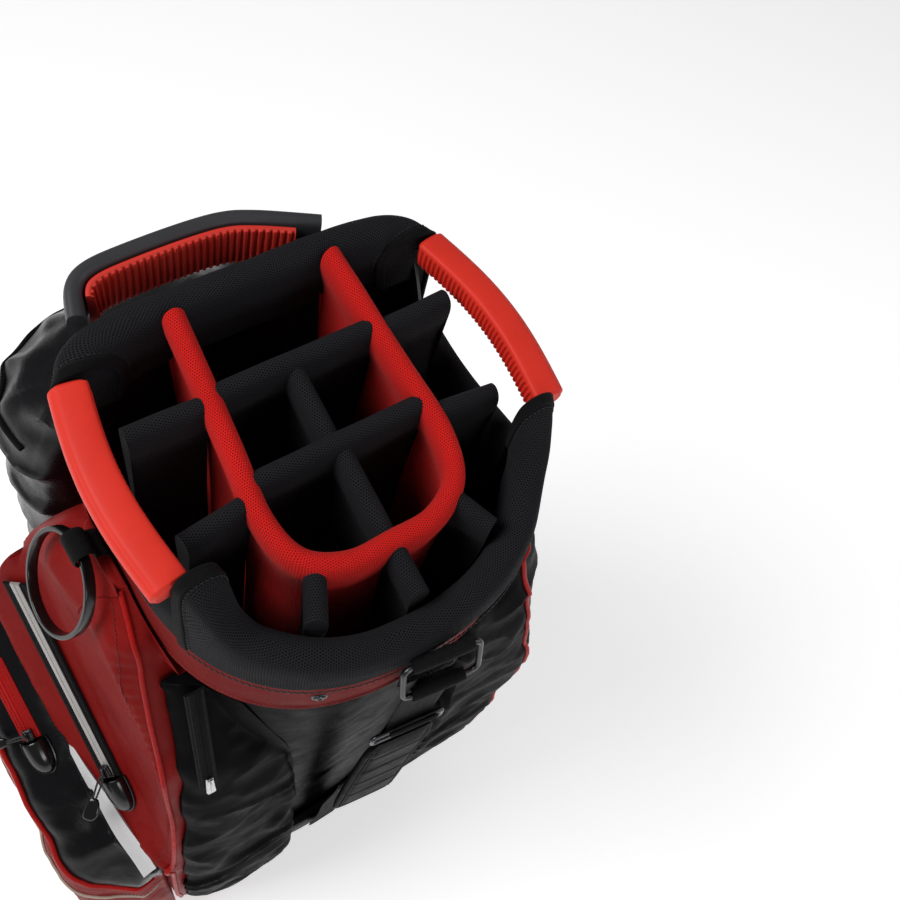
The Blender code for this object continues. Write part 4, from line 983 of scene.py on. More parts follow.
def pocket(zs_ctrl, polys, dz=0.0034, ds=0.0034, dome=0.004, clear=True):
    """Dense skin through the control polygons of each level: quadratic B-spline
    rings, smooth between levels, kept outside the bag's tube."""
    Z = np.array(zs_ctrl)
    C = np.array(polys, float)
    zz = np.arange(Z[0], Z[-1], dz)
    zz = np.r_[zz, Z[-1]]
    # smooth interpolation between levels (Hermite with limited slopes)
    S = np.zeros_like(C)
    dl = (C[1:] - C[:-1]) / (Z[1:] - Z[:-1])[:, None, None]
    S[1:-1] = np.where(dl[1:] * dl[:-1] > 0, 2 * dl[1:] * dl[:-1] / (dl[1:] + dl[:-1] + 1e-12), 0)
    S[0], S[-1] = dl[0], dl[-1]
    rows = []
    for z in zz:
        k = min(len(Z) - 2, max(0, int(np.searchsorted(Z, z, "right")) - 1))
        h = Z[k + 1] - Z[k]
        t = (z - Z[k]) / h
        rows.append(C[k] * (2 * t ** 3 - 3 * t * t + 1) + S[k] * h * (t ** 3 - 2 * t * t + t) + C[k + 1] * (-2 * t ** 3 + 3 * t * t) + S[k + 1] * h * (t ** 3 - t * t))
    rows = np.array(rows)
    n = C.shape[1]
    mid = C[len(C) // 2]
    counts = [max(4, int(np.ceil((np.linalg.norm(mid[i] - mid[i - 1]) + np.linalg.norm(mid[(i + 1) % n] - mid[i])) / 2 / ds))) for i in range(n)]
    ring, seg = [], []
    for i in range(n):
        for k in range(counts[i]):
            t = k / counts[i]
            ring.append(0.5 * (1 - t) ** 2 * rows[:, i - 1] + (0.5 + t - t * t) * rows[:, i] + 0.5 * t * t * rows[:, (i + 1) % n])
            seg.append(i + t)
    R = np.stack(ring, 1)
    P = np.concatenate([R, np.broadcast_to(zz[:, None, None], R.shape[:2] + (1,))], 2)
    touch = np.zeros(P.shape[:2], bool)
    if clear:
        z = P[:, :, 2]
        tt = np.clip((z - Z_BASE) / (Z_FULL - Z_BASE), 0, 1)
        dx, dy = P[:, :, 0], P[:, :, 1] - RIM_YC * tt
        phi = np.arctan2(dy, dx)
        rad = np.hypot(dx, dy)
        off = np.where(z < 0.0668, -0.0075, np.where(z > 0.686, -0.0006, TUBE_O - 0.0010))
        rr, yc = out_np(phi, z, off)
        touch = rad < rr + 0.0004
        rad2 = np.where(touch, rr, rad)
        P = np.stack([rad2 * np.cos(phi), rad2 * np.sin(phi) + yc, z], 2)
    return P, np.array(seg), touch, counts


def seg_index(counts, ctrl):
    """Ring index whose point is nearest a control point."""
    return int(sum(counts[:ctrl]) + counts[ctrl] // 2)


def close_top(P, rise=0.004, sink=0.003):
    """Round both ends over: a few shrinking rings."""
    out = [P]
    for end in (0, -1):
        r = P[end]
        c = r.mean(0)
        extra = []
        for k, q in ((0.992, 0.35), (0.972, 0.68), (0.93, 0.90), (0.80, 1.0), (0.5, 1.0), (0.2, 1.0)):
            w = c + (r - c) * k
            w[:, 2] = r[:, 2] + (rise if end == -1 else -sink) * q
            extra.append(w)
        extra = np.array(extra)
        if end == -1:
            out.append(extra)
        else:
            out.insert(0, extra[::-1])
    return np.concatenate(out)


def edge_soft(touch, width=5):
    """0 at the contact area rising to 1 away from it."""
    k = (~touch).astype(float)
    for _ in range(width):
        k = np.minimum(k, 0.25 * (np.roll(k, 1, 1) + np.roll(k, -1, 1)) + 0.25 * (np.vstack([k[:1], k[:-1]]) + np.vstack([k[1:], k[-1:]])))
    return np.clip(k, 0, 1)


def interp(table, z):
    for (z0, *a), (z1, *b) in zip(table, table[1:]):
        if z0 <= z <= z1:
            t = (z - z0) / (z1 - z0)
            return [lerp(p, q, t) for p, q in zip(a, b)]
    return list(table[0][1:]) if z < table[0][0] else list(table[-1][1:])


RIGHT = [(0.040, 0.183, -0.090, 0.172, 0.092), (0.075, 0.196, -0.108, 0.186, 0.106), (0.200, 0.1975, -0.114, 0.1955, 0.122),
         (0.350, 0.1980, -0.116, 0.192, 0.120), (0.448, 0.1990, -0.116, 0.180, 0.110), (0.547, 0.2002, -0.115, 0.172, 0.094),
         (0.620, 0.2010, -0.112, 0.1648, 0.0692), (0.660, 0.1950, -0.104, 0.1609, 0.0556), (0.700, 0.1800, -0.088, 0.157, 0.042),
         (0.728, 0.1650, -0.070, 0.154, 0.020), (0.738, 0.1560, -0.055, 0.1515, 0.005)]
LEFT = [(0.040, 0.186, -0.090, 0.160, 0.104), (0.075, 0.203, -0.108, 0.172, 0.117), (0.140, 0.212, -0.112, 0.184, 0.127),
        (0.200, 0.212, -0.114, 0.190, 0.132), (0.350, 0.212, -0.116, 0.197, 0.140), (0.448, 0.212, -0.116, 0.184, 0.142),
        (0.540, 0.201, -0.115, 0.166, 0.138), (0.620, 0.188, -0.110, 0.146, 0.126), (0.660, 0.178, -0.102, 0.137, 0.116),
        (0.685, 0.165, -0.085, 0.133, 0.108)]
ZS = (0.040, 0.060, 0.085, 0.140, 0.220, 0.300, 0.380, 0.448, 0.500, 0.547, 0.590, 0.620, 0.645, 0.670, 0.700, 0.722, 0.738)

# ---- curved zip's arc, needed for masks
ZC = np.array((0.2010, 0.424, 0.817))
ZN = np.array((1.0, 0.0, -0.0116)) / math.hypot(1, 0.0116)
ZA0 = math.atan2(0.425 - 0.817, 0.0365 - 0.424)
ZA1 = math.atan2(0.618 - 0.817, -0.092 - 0.424)
ZR = 0.5 * (math.hypot(0.0365 - 0.424, 0.425 - 0.817) + math.hypot(-0.092 - 0.424, 0.618 - 0.817))


def zip_arc(u, lift):
    g_ = lerp(ZA0, ZA1, u)
    p = np.array((0, ZC[1] + ZR * math.cos(g_), ZC[2] + ZR * math.sin(g_)))
    p[0] = 0.2000 + 0.0116 * (p[2] - 0.405)
    t = np.array((0, -math.sin(g_), math.cos(g_))) * (-1 if ZA1 < ZA0 else 1)
    return p + ZN * lift, t


def zip_keep(P, width=0.018, fade=0.022):
    """1 away from the curved zip, 0 on it."""
    d = np.hypot(P[..., 1] - ZC[1], P[..., 2] - ZC[2]) - ZR - 0.0088
    ang = np.arctan2(P[..., 2] - ZC[2], P[..., 1] - ZC[1])
    ang = np.where(ang > 0, ang - 2 * math.pi, ang)
    lo, hi = sorted((ZA0 + 0.09, ZA1 - 0.03)) if ZA0 > ZA1 else sorted((ZA0 - 0.09, ZA1 + 0.03))
    out_a = np.maximum(np.maximum(lo - ang, ang - hi), 0) * ZR
    dist = np.hypot(d, out_a)
    return np.clip((dist - width) / fade, 0, 1)


# red side pocket
polys = []
for z in ZS:
    xo, yf, xp, yp = interp(RIGHT, z)
    polys.append([(0.100, yf + 0.004), (0.130, yf), (xo - 0.004, yf - 0.002), (xo + 0.0004, yf + 0.022), (xo, yf + 0.080),
                  (xo, min(yp - 0.060, 0.045)), (xo - 0.001, yp - 0.024), (xp + 0.004, yp + 0.002), (xp - 0.016, yp), (0.110, yp), (0.085, yp)])
P, seg, touch, cnt = pocket(ZS, polys)
k = edge_soft(touch)
zk = zip_keep(P)
face = np.clip((P[:, :, 0] - 0.185) / 0.012, 0, 1)
low = np.clip((P[:, :, 2] - 0.30) / 0.06, 0, 1)                 # lower part stays flat behind the outer pocket
side = 1 - face * (1 - np.clip((P[:, :, 2] - (0.418 - 0.8 * P[:, :, 1]) + 0.005) / 0.02, 0, 1))
mask = k * np.where(face > 0.3, zk, 1) * side
P2, Nn = wrinkled(P, 0.0036, 9.0, 21.0, mask, (1.0, 1.5, 0.7), 0.0006)
# the panel leans outward across the zip, and its lower edge folds under as a flap
ZTAN = 1.0
dz_ = ZR - np.hypot(P[:, :, 1] - ZC[1], P[:, :, 2] - ZC[2])
lean = np.where(dz_ < 0.004, 0.0030 - (dz_ + 0.0088) * ZTAN, 0.0030 - 0.0128 * ZTAN - 0.15 * (dz_ - 0.004))
fold = np.clip((dz_ + 0.052) / 0.014, 0, 1)
lean = np.where(lean > 0, np.minimum(lean, 0.0285) * fold * fold * (3 - 2 * fold), lean)
w_front = np.clip((P[:, :, 1] + 0.116) / 0.006, 0, 1)
w_face = np.clip((P[:, :, 0] - 0.178) / 0.012, 0, 1) * w_front * np.clip((P[:, :, 2] - 0.33) / 0.03, 0, 1)
w_face = w_face * np.clip((0.735 - P[:, :, 2]) / 0.05, 0, 1)
target = 0.2000 + lean
goal = np.where(lean > 0, target, np.minimum(P[:, :, 0], target))
P2[:, :, 0] += (goal - P[:, :, 0]) * w_face
PR = P2
jp = seg_index(cnt, 7)
# puckers beside the piping
for i in range(len(PR)):
    for dj in range(-9, 1):
        j = jp + dj
        w = math.exp(-((dj + 3) / 2.6) ** 2)
        PR[i, j] += Nn[i, j] * 0.0007 * w * math.sin(PR[i, j, 2] * 2 * math.pi / 0.0115 + 2 * noise.noise(Vector((0, 0, PR[i, j, 2] * 30))))
g = Geo().grid(close_top(PR), close_v=True, cap0=True, cap1=True)
link("pocket_right_shell", face_out(g.mesh("pocket_right", 60)), "shell_red", replaces=("pocket_right",))
pipe_R = PR[3:, jp].copy()
pipe_R[:, 1] += 0.0014
g = Geo()
tube(g, resample(pipe_R, step=0.003), 0.0022, 10)
link("pocket_right_piping", g.mesh("pr_piping"), "piping_red")
g = Geo()
row = PR[4:-3, jp - 4] + Nn[4:-3, jp - 4] * 0.0002
stitches(g, row, Nn[4:-3, jp - 4], 0.0038, 0.0026, 0.00036, 0.0002)
link("pocket_right_stitching", g.mesh("pr_stitch"), "thread_red")

# left pocket
polys, zl = [], []
for z in ZS:
    if z > 0.690:
        continue
    xo, yf, xp, yp = interp(LEFT, z)
    zl.append(z)
    polys.append([(-0.085, yp), (-0.110, yp), (-xp + 0.012, yp + 0.001), (-xp - 0.004, yp), (-xo + 0.001, yp - 0.032), (-xo, yp - 0.080),
                  (-xo, yf + 0.070), (-xo + 0.0004, yf + 0.020), (-xo + 0.010, yf), (-0.130, yf), (-0.100, yf + 0.004)])
P, seg, touch, cnt = pocket(zl, polys)
k = edge_soft(touch)
zleft = np.clip((np.hypot(np.maximum(np.abs(P[:, :, 1] - 0.010), 0), np.maximum(np.abs(P[:, :, 2] - 0.30) - 0.14, 0)) - 0.018) / 0.02, 0, 1)
mask = k * np.where(P[:, :, 0] < -0.19, zleft, 1)
PL, Nl = wrinkled(P, 0.0060, 9.0, 5.0, mask, (1.0, 1.0, 1.6), 0.0011)
g = Geo().grid(close_top(PL), close_v=True, cap0=True, cap1=True)
link("pocket_left_shell", face_out(g.mesh("pocket_left", 60)), "shell_matt", replaces=("pocket_left",))
jl = seg_index(cnt, 3)
g = Geo()
pl = PL[:, jl] + Nl[:, jl] * 0.0010
top_ring = PL[-1, jl:seg_index(cnt, 8)] + np.array((0, 0, 0.002))
tube(g, resample(np.concatenate([pl[:-2], top_ring]), step=0.003), 0.0023, 10)
link("pocket_left_piping", g.mesh("pl_piping"), "piping_red")

# right gusset
polys, zl = [], []
for z in ZS:
    if z > 0.690:
        continue
    xo, yf, xp, yp = interp(RIGHT, z)
    yp += 0.0010
    w = 0.020
    zl.append(z)
    polys.append([(0.070, yp), (0.095, yp), (xp - 0.012, yp), (xp - 0.006, yp + 0.002), (xp - 0.020, yp + w * 0.6), (xp - 0.050, yp + w), (0.085, yp + w), (0.070, yp + w * 0.8)])
P, seg, touch, cnt = pocket(zl, polys)
k = edge_soft(touch)
gz0 = np.array((0.172 - 0.0240, 0.094 + 0.0210, 0.547))
gt = np.array((-0.098, -0.340, 1.0))
gt /= np.linalg.norm(gt)
dd = P - gz0
al = dd @ gt
dist = np.linalg.norm(dd - al[:, :, None] * gt, axis=2)
dist = np.hypot(dist, np.maximum(np.maximum(-0.01 - al, al - 0.14), 0))
mask = k * np.clip((dist - 0.012) / 0.02, 0, 1)
front = P[:, :, 1] > 0
PG, Ng = wrinkled(P, 0.0050, 11.0, 9.0, mask, (1.2, 1.0, 1.5), 0.0010)
g = Geo().grid(close_top(PG, 0.002, 0.002), close_v=True, cap0=True, cap1=True)
link("gusset_right_shell", face_out(g.mesh("gusset_right", 60)), "shell_matt", replaces=("gusset_right",))

# lower pocket outside the red one: red panel, black sloping top
SHELF_Z, SHELF_RUN, SHELF_X, SHELF_SLOPE = 0.418, -0.8, 0.228, -0.619
lower = [(0.050, 0.246), (0.070, 0.264), (0.110, 0.276), (0.200, 0.283), (0.300, 0.284), (0.350, 0.282), (0.378, 0.2775), (0.392, 0.270), (SHELF_Z, SHELF_X)]
polys = []
x0 = 0.2030
for z, xo in lower:
    q = xo - x0
    xw = 0.1950
    polys.append([(xw, -0.116), (x0 + 0.20 * q, -0.130), (xo - 0.30 * q, -0.136), (xo, -0.118), (xo, -0.070), (xo, 0.000), (xo, 0.050),
                  (xo - 0.06 * q, 0.082), (x0 + 0.35 * q, 0.110), (x0 + 0.02 * q, 0.112), (xw, 0.106), (xw, 0.0)])
P, seg, touch, cnt = pocket([l[0] for l in lower], polys, dz=0.003, clear=False)
flat_back = P[:, :, 0] < x0 + 0.002


def shear(P):
    Q = P.copy()
    t = np.clip((P[..., 2] - 0.12) / (0.378 - 0.12), 0, 1)
    Q[..., 2] += SHELF_RUN * (t * t * (3 - 2 * t)) * P[..., 1]
    return Q


levels_z = P[:, 0, 2].copy()
iz = int(np.searchsorted(levels_z, 0.381))
Q = close_top(P, 0.0012, 0.003)
shift = (len(Q) - len(P)) // 2
Q = shear(Q)
kk = np.ones(Q.shape[:2])
kk[Q[:, :, 0] < x0 + 0.003] = 0
tz = np.clip((np.abs(Q[:, :, 0] - 0.249) - 0.010) / 0.010, 0, 1)
zipzone = (Q[:, :, 1] < 0.002) & (Q[:, :, 1] > -0.104)
on_top = np.zeros(Q.shape[:2], bool)
on_top[iz + shift:] = True
kk = np.where(zipzone & on_top, kk * tz, kk)
QW, Nq = wrinkled(Q, 0.0052, 12.0, 31.0, kk, (1.3, 1.0, 1.0), 0.0012)
g = Geo().grid(QW, close_v=True, cap0=True, cap1=True, mi=lambda i, j: 1 if i >= iz + shift else 0)
link("pocket_right_lower_shell", face_out(g.mesh("pocket_right_lower", 60)), ["shell_red", "shell_black"], replaces=("pocket_right_lower",))
j0, j1 = seg_index(cnt, 1), seg_index(cnt, 9)
edge = QW[iz + shift, j0:j1] + np.array((0.0012, 0, 0.0010))
g = Geo()
tube(g, resample(edge, step=0.003), 0.0024, 10)
link("pocket_lower_piping", g.mesh("plow_piping"), "piping_red")
ib = int(np.searchsorted(levels_z, 0.335)) + shift
edge = QW[ib, j0:j1] + Nq[ib, j0:j1] * 0.0008
g = Geo()
tube(g, resample(edge, step=0.003), 0.0016, 8)
link("pocket_lower_piping_beige", g.mesh("plow_piping2"), "piping_beige")
g = Geo()
for off, rr in ((-2, 0.0004), (3, 0.0004)):
    row = QW[ib + off, j0:j1]
    stitches(g, row, Nq[ib + off, j0:j1], 0.0038, 0.0026, 0.00036, 0.0002)
link("pocket_lower_stitching", g.mesh("plow_stitch"), "thread_red")

# front pockets
up = [(0.445, -0.236), (0.460, -0.248), (0.520, -0.255), (0.600, -0.255), (0.680, -0.255), (0.715, -0.247), (0.738, -0.228), (0.750, -0.202), (0.757, -0.176)]
lowf = [(0.050, -0.236), (0.066, -0.256), (0.110, -0.268), (0.160, -0.272), (0.300, -0.272), (0.400, -0.266), (0.424, -0.248), (0.434, -0.226)]
for nm, table, mat, zz_, seed in (("pocket_front_upper", up, "shell_black", 0.640, 41.0), ("pocket_front_lower", lowf, "shell_red", 0.255, 51.0)):
    polys = []
    for z, yo in table:
        d = max(0.0, (z - 0.70)) * 0.5
        xr = 0.172 - d if z > 0.44 else 0.160
        polys.append([(-0.060, -0.080), (-0.070, -0.100), (-0.078, -0.121), (-0.110, -0.1195), (-0.134, -0.128), (-0.136, yo + 0.060), (-0.118, yo + 0.008),
                      (-0.080, yo), (-0.030, yo), (0.030, yo), (0.080, yo), (xr - 0.040, yo + 0.010), (xr, yo + 0.060), (xr - 0.002, -0.138),
                      (xr - 0.026, -0.1205), (0.110, -0.1195), (0.078, -0.121), (0.070, -0.100), (0.060, -0.080)])
    P, seg, touch, cnt = pocket([t[0] for t in table], polys, dz=0.0036, ds=0.0036)
    k = edge_soft(touch)
    back = np.clip((-0.122 - P[:, :, 1]) / 0.012, 0, 1)
    zd = np.clip((np.hypot(np.maximum(np.abs(P[:, :, 0]) - 0.062, 0), P[:, :, 2] - zz_) - 0.014) / 0.02, 0, 1)
    zd = np.where(P[:, :, 1] < -0.235, zd, 1)
    amp = 0.0075 if mat == "shell_black" else 0.0055
    PF, Nf = wrinkled(P, amp, 8.0, seed, k * back * zd, (1.1, 1.0, 1.7), 0.0013)
    Q = close_top(PF, 0.003, 0.003)
    if nm == "pocket_front_upper":
        # the top sags in folds between its edges
        c = Q[-1].mean(0)
        for i in range(len(Q) - 40, len(Q)):
            for j in range(Q.shape[1]):
                q = Q[i, j]
                if q[1] < -0.135:
                    Q[i, j, 2] += 0.004 * (ridged(q, 15, 77, (1, 1.6, 0.2)) - 0.6)
    g = Geo().grid(Q, close_v=True, cap0=True, cap1=True)
    link(nm + "_shell", face_out(g.mesh(nm, 60)), mat, replaces=(nm,))
    ja, jb = seg_index(cnt, 5), seg_index(cnt, 13)
    for zrow in ((0.712, 0.47) if nm == "pocket_front_upper" else (0.405, 0.075)):
        i = int(np.argmin(np.abs(PF[:, 0, 2] - zrow)))
        g = Geo()
        tube(g, resample(PF[i, ja:jb] + Nf[i, ja:jb] * 0.0008, step=0.003), 0.0021, 8)
        link("%s_piping_%d" % (nm, int(zrow * 1000)), g.mesh("pf_pipe"), "piping_red" if mat == "shell_red" else "binding_black")

# tube, with the loose folds of an empty shell
nphi, zs = 300, np.arange(0.0270, 0.7151, 0.0043)
outer = []
for z in zs:
    phi = np.arange(nphi) * 2 * math.pi / nphi
    r, yc = out_np(phi, np.full(nphi, z), TUBE_O)
    outer.append(np.stack([r * np.cos(phi), r * np.sin(phi) + yc, np.full(nphi, z)], 1))
P = np.array(outer)
mask = np.clip((P[:, :, 2] - 0.075) / 0.05, 0, 1) * np.clip((0.685 - P[:, :, 2]) / 0.03, 0, 1)
PT, Nt = wrinkled(P, 0.0024, 10.0, 61.0, mask, (1.2, 1.2, 0.6), 0.0005)
D = ((PT - P) * Nt).sum(2)
PT = np.where((D > 0.0006)[:, :, None], P + Nt * 0.0006, PT)
inner = []
for z in zs[::-6]:
    phi = np.arange(nphi) * 2 * math.pi / nphi
    r, yc = out_np(phi, np.full(nphi, z), TUBE_I + 0.0008)
    inner.append(np.stack([r * np.cos(phi), r * np.sin(phi) + yc, np.full(nphi, z)], 1))
g = Geo().grid(np.concatenate([PT, np.array(inner)]), close_u=True, close_v=True)
link("body_tube_shell", face_out(g.mesh("body_tube", 60)), "shell_matt", replaces=("body_tube",))

# moulded tray with ribs, rubber sole with tread
rings = []
nph = 360
for z, off in ((0.0034, 0.012), (0.0040, 0.010), (0.0065, 0.0052), (0.010, 0.0012), (0.016, -0.0025), (0.022, -0.0050), (0.026, -0.0058), (0.0275, -0.0050),
               (0.029, -0.0058), (0.045, -0.0064), (0.0565, -0.0066), (0.058, -0.0056), (0.0595, -0.0066), (0.0625, -0.0065), (0.0655, -0.0058), (0.0662, -0.0045),
               (0.0662, 0.0035), (0.0655, 0.0044), (0.026, 0.0052)):
    ring = []
    for k in range(nph):
        p = 2 * math.pi * k / nph
        fl = 0.0
        if 0.030 < z < 0.0560:
            fl = 0.0007 * (1 - rib(k / 6.0, 0.4))
        ring.append(np.array((*outline(p, Z_BASE, off + fl)[:2], z)))
    rings.append(ring)
g = Geo().grid(rings, close_v=True, cap0=True, cap1=True)
link("base_tray_moulded", face_out(g.mesh("base_tray", 30)), "plastic_black", replaces=("base_tray",))
rings = []
for z, off, tread in ((0.0026, 0.0112, 0), (0.0010, 0.0112, 0), (0.0, 0.0122, 0), (0.0, 0.016, 0), (0.0012, 0.0168, 0), (0.0012, 0.022, 0), (0.0, 0.0228, 0),
                      (0.0, 0.034, 0), (0.0012, 0.0348, 0), (0.0012, 0.052, 0), (0.0, 0.0528, 0), (0.0, 0.080, 0), (0.0012, 0.0808, 0)):
    rings.append([np.array((*outline(2 * math.pi * k / 180, Z_BASE, off)[:2], z)) for k in range(180)])
g = Geo().grid(rings, close_v=True, cap0=True, cap1=True)
link("base_sole_tread", face_out(g.mesh("base_sole", 30)), "rubber_black", replaces=("base_sole",))


# ================================================================ zips
def V3(*a):
    return np.array(a, float)


def unit(v):
    v = np.asarray(v, float)
    return v / (np.linalg.norm(v) + 1e-12)


def zip_band(name, C, N, width, node, tape="tape_black", teeth="tape_grey", coil=0.0062):
    """Tape in two halves with a run of stitches, and the reflective coil cover down
    the middle, following points C with normals N."""
    C = resample(C, step=0.0016)
    N = resample(N, n=len(C))
    g = Geo()
    h = width / 2
    prof = [(-h, -0.0012), (-h + 0.0004, 0.0006), (-h + 0.0014, 0.0010), (-coil / 2 - 0.0016, 0.0010), (-coil / 2 - 0.0006, 0.0017), (-coil / 2, 0.0016)]
    for sgn in (-1, 1):
        rows = []
        for i in range(len(C)):
            t = unit(C[min(i + 1, len(C) - 1)] - C[max(0, i - 1)])
            n = unit(N[i] - t * N[i].dot(t))
            s = np.cross(t, n)
            w = 0.00016 * math.sin(i * 0.9)
            rows.append([C[i] + s * (a * sgn) + n * (b + (w if 1 < k < 5 else 0)) for k, (a, b) in enumerate(prof)] + [C[i] + s * (-coil / 2 * sgn * -1 * -1) * 0 + s * (prof[-1][0] * sgn) + n * -0.0012])
        g.grid(rows, close_v=True, cap0=True, cap1=True)
    rows = []
    for i in range(len(C)):
        t = unit(C[min(i + 1, len(C) - 1)] - C[max(0, i - 1)])
        n = unit(N[i] - t * N[i].dot(t))
        s = np.cross(t, n)
        z = 0.00022 * (1 if (i % 2) else -1)
        ring = []
        for a, b in ((-coil / 2, -0.0010), (-coil / 2, 0.0010), (-coil / 2 + 0.0006, 0.0016 + z), (-0.0005, 0.0019 + z), (0.0, 0.0013), (0.0005, 0.0019 - z), (coil / 2 - 0.0006, 0.0016 - z), (coil / 2, 0.0010), (coil / 2, -0.0010)):
            ring.append(C[i] + s * a + n * b)
        rows.append(ring)
    g.grid(rows, close_v=True, cap0=True, cap1=True, mi=1)
    link(name, face_out(g.mesh(name, 40)), [tape, teeth], replaces=(node,))
    g = Geo()
    for a in (-h + 0.0024, h - 0.0024):
        rows = []
        for i in range(len(C)):
            t = unit(C[min(i + 1, len(C) - 1)] - C[max(0, i - 1)])
            n = unit(N[i] - t * N[i].dot(t))
            rows.append(C[i] + np.cross(t, n) * a + n * 0.0010)
        stitches(g, np.array(rows), N, 0.0030, 0.0022, 0.00030, 0.0001)
    link(name + "_stitching", g.mesh("s"), "thread_red" if tape == "piping_red" else "thread_black")
    return C, N


def hood(name, c, t, n, size, node):
    """Moulded zip garage: a rounded hood with a rim, open toward the slider."""
    c, t, n = V3(*c), unit(t), unit(n)
    s = np.cross(t, n)
    ln, w, h = size
    rows = []
    outer = [(0.0, 0.90), (0.02, 0.955), (0.06, 0.98), (0.15, 1.0), (0.30, 1.0), (0.45, 0.985), (0.60, 0.93), (0.74, 0.82), (0.85, 0.66), (0.93, 0.47), (0.98, 0.27), (1.0, 0.10)]
    for k, sc in [(0.30, 0.30), (0.10, 0.62), (0.01, 0.74), (0.0, 0.80)] + outer:
        inside = len(rows) < 3
        r = []
        for j in range(25):
            a = math.pi * j / 24
            x = math.cos(a)
            z = math.sin(a)
            # squarer shoulders, a soft ridge along the crown
            x = math.copysign(abs(x) ** 0.86, x)
            z = z ** 0.80
            ridge = 1.0 + (0.035 * math.exp(-((j - 12) / 2.2) ** 2) if not inside else 0)
            r.append(c + t * (ln * k) + s * (x * w / 2 * sc) + n * (z * h * sc * ridge * 0.97 + 0.0001))
        rows.append(r)
    # floor closes each ring
    g = Geo().grid(rows, close_v=True, cap0=True, cap1=True)
    link(name, face_out(g.mesh(name, 40)), "plastic_gloss", replaces=(node,))
    # flange it is stitched down with
    rows = []
    pts = []
    for k, sc in outer:
        pts.append((ln * k, w / 2 * sc + 0.0012))
    edge = [c + t * a + s * b + n * 0.0006 for a, b in pts] + [c + t * a - s * b + n * 0.0006 for a, b in reversed(pts)]
    g = Geo()
    tube(g, chaikin(np.array(edge), 2, False), 0.0011, 8)
    link(name + "_rim", g.mesh("rim"), "plastic_gloss")


def rounded_block(g, c, t, n, L, W, H, r, mi=0, bulge=0.0, taper=1.0):
    """Block with rounded edges: length along t, height along n."""
    c, t, n = V3(*c), unit(t), unit(n)
    s = np.cross(t, n)
    rows = []
    m = 6
    for i in range(m + 1):
        a = -math.pi / 2 + math.pi / 2 * i / m
        rows.append((-L / 2 + r + r * math.sin(a), math.cos(a)))
    for i in range(m + 1):
        a = math.pi / 2 * i / m
        rows.append((L / 2 - r + r * math.sin(a), math.cos(a)))
    out = []
    for x, k in rows:
        f = lerp(1.0, taper, (x + L / 2) / L)
        w, h = W * f - 2 * r * (1 - k), H - 2 * r * (1 - k)
        sec = rrect(w, h, max(0.0001, min(r * 0.98, w / 2.2, h / 2.2)), 4)
        out.append([c + t * x + s * p[0] + n * (p[1] * (1 + bulge * (1 - (p[0] / (w / 2 + 1e-9)) ** 2))) for p in sec])
    g.grid(out, close_v=True, cap0=True, cap1=True, mi=mi)


def slider(name, c, t, n, size, node, body, mat="metal_dark", bridge=True):
    """Zip slider: lower and upper wings joined by a post, with a bridge on top."""
    c, t, n = V3(*c), unit(t), unit(n)
    ln, w, h = size
    g = Geo()
    top = c + n * (h * 0.08)
    rounded_block(g, c - n * (h * 0.20), t, n, ln, w, h * 0.42, 0.0008, taper=0.80)
    rounded_block(g, c + n * (h * 0.12), t, n, ln * 0.94, w * 0.90, h * 0.30, 0.0007, taper=0.72)
    s = np.cross(t, n)
    if bridge:
        P = []
        for k in range(13):
            a = math.pi * k / 12
            P.append(c + t * (-math.cos(a) * ln * 0.34) + n * (h * 0.20 + math.sin(a) ** 0.7 * h * 0.26))
        g.grid(sweep(np.array(P), s, rrect(w * 0.30, 0.0013, 0.0005, 3)), close_v=True, cap0=True, cap1=True)
    link(name, face_out(g.mesh(name, 40)), mat, body=body, replaces=(node,))


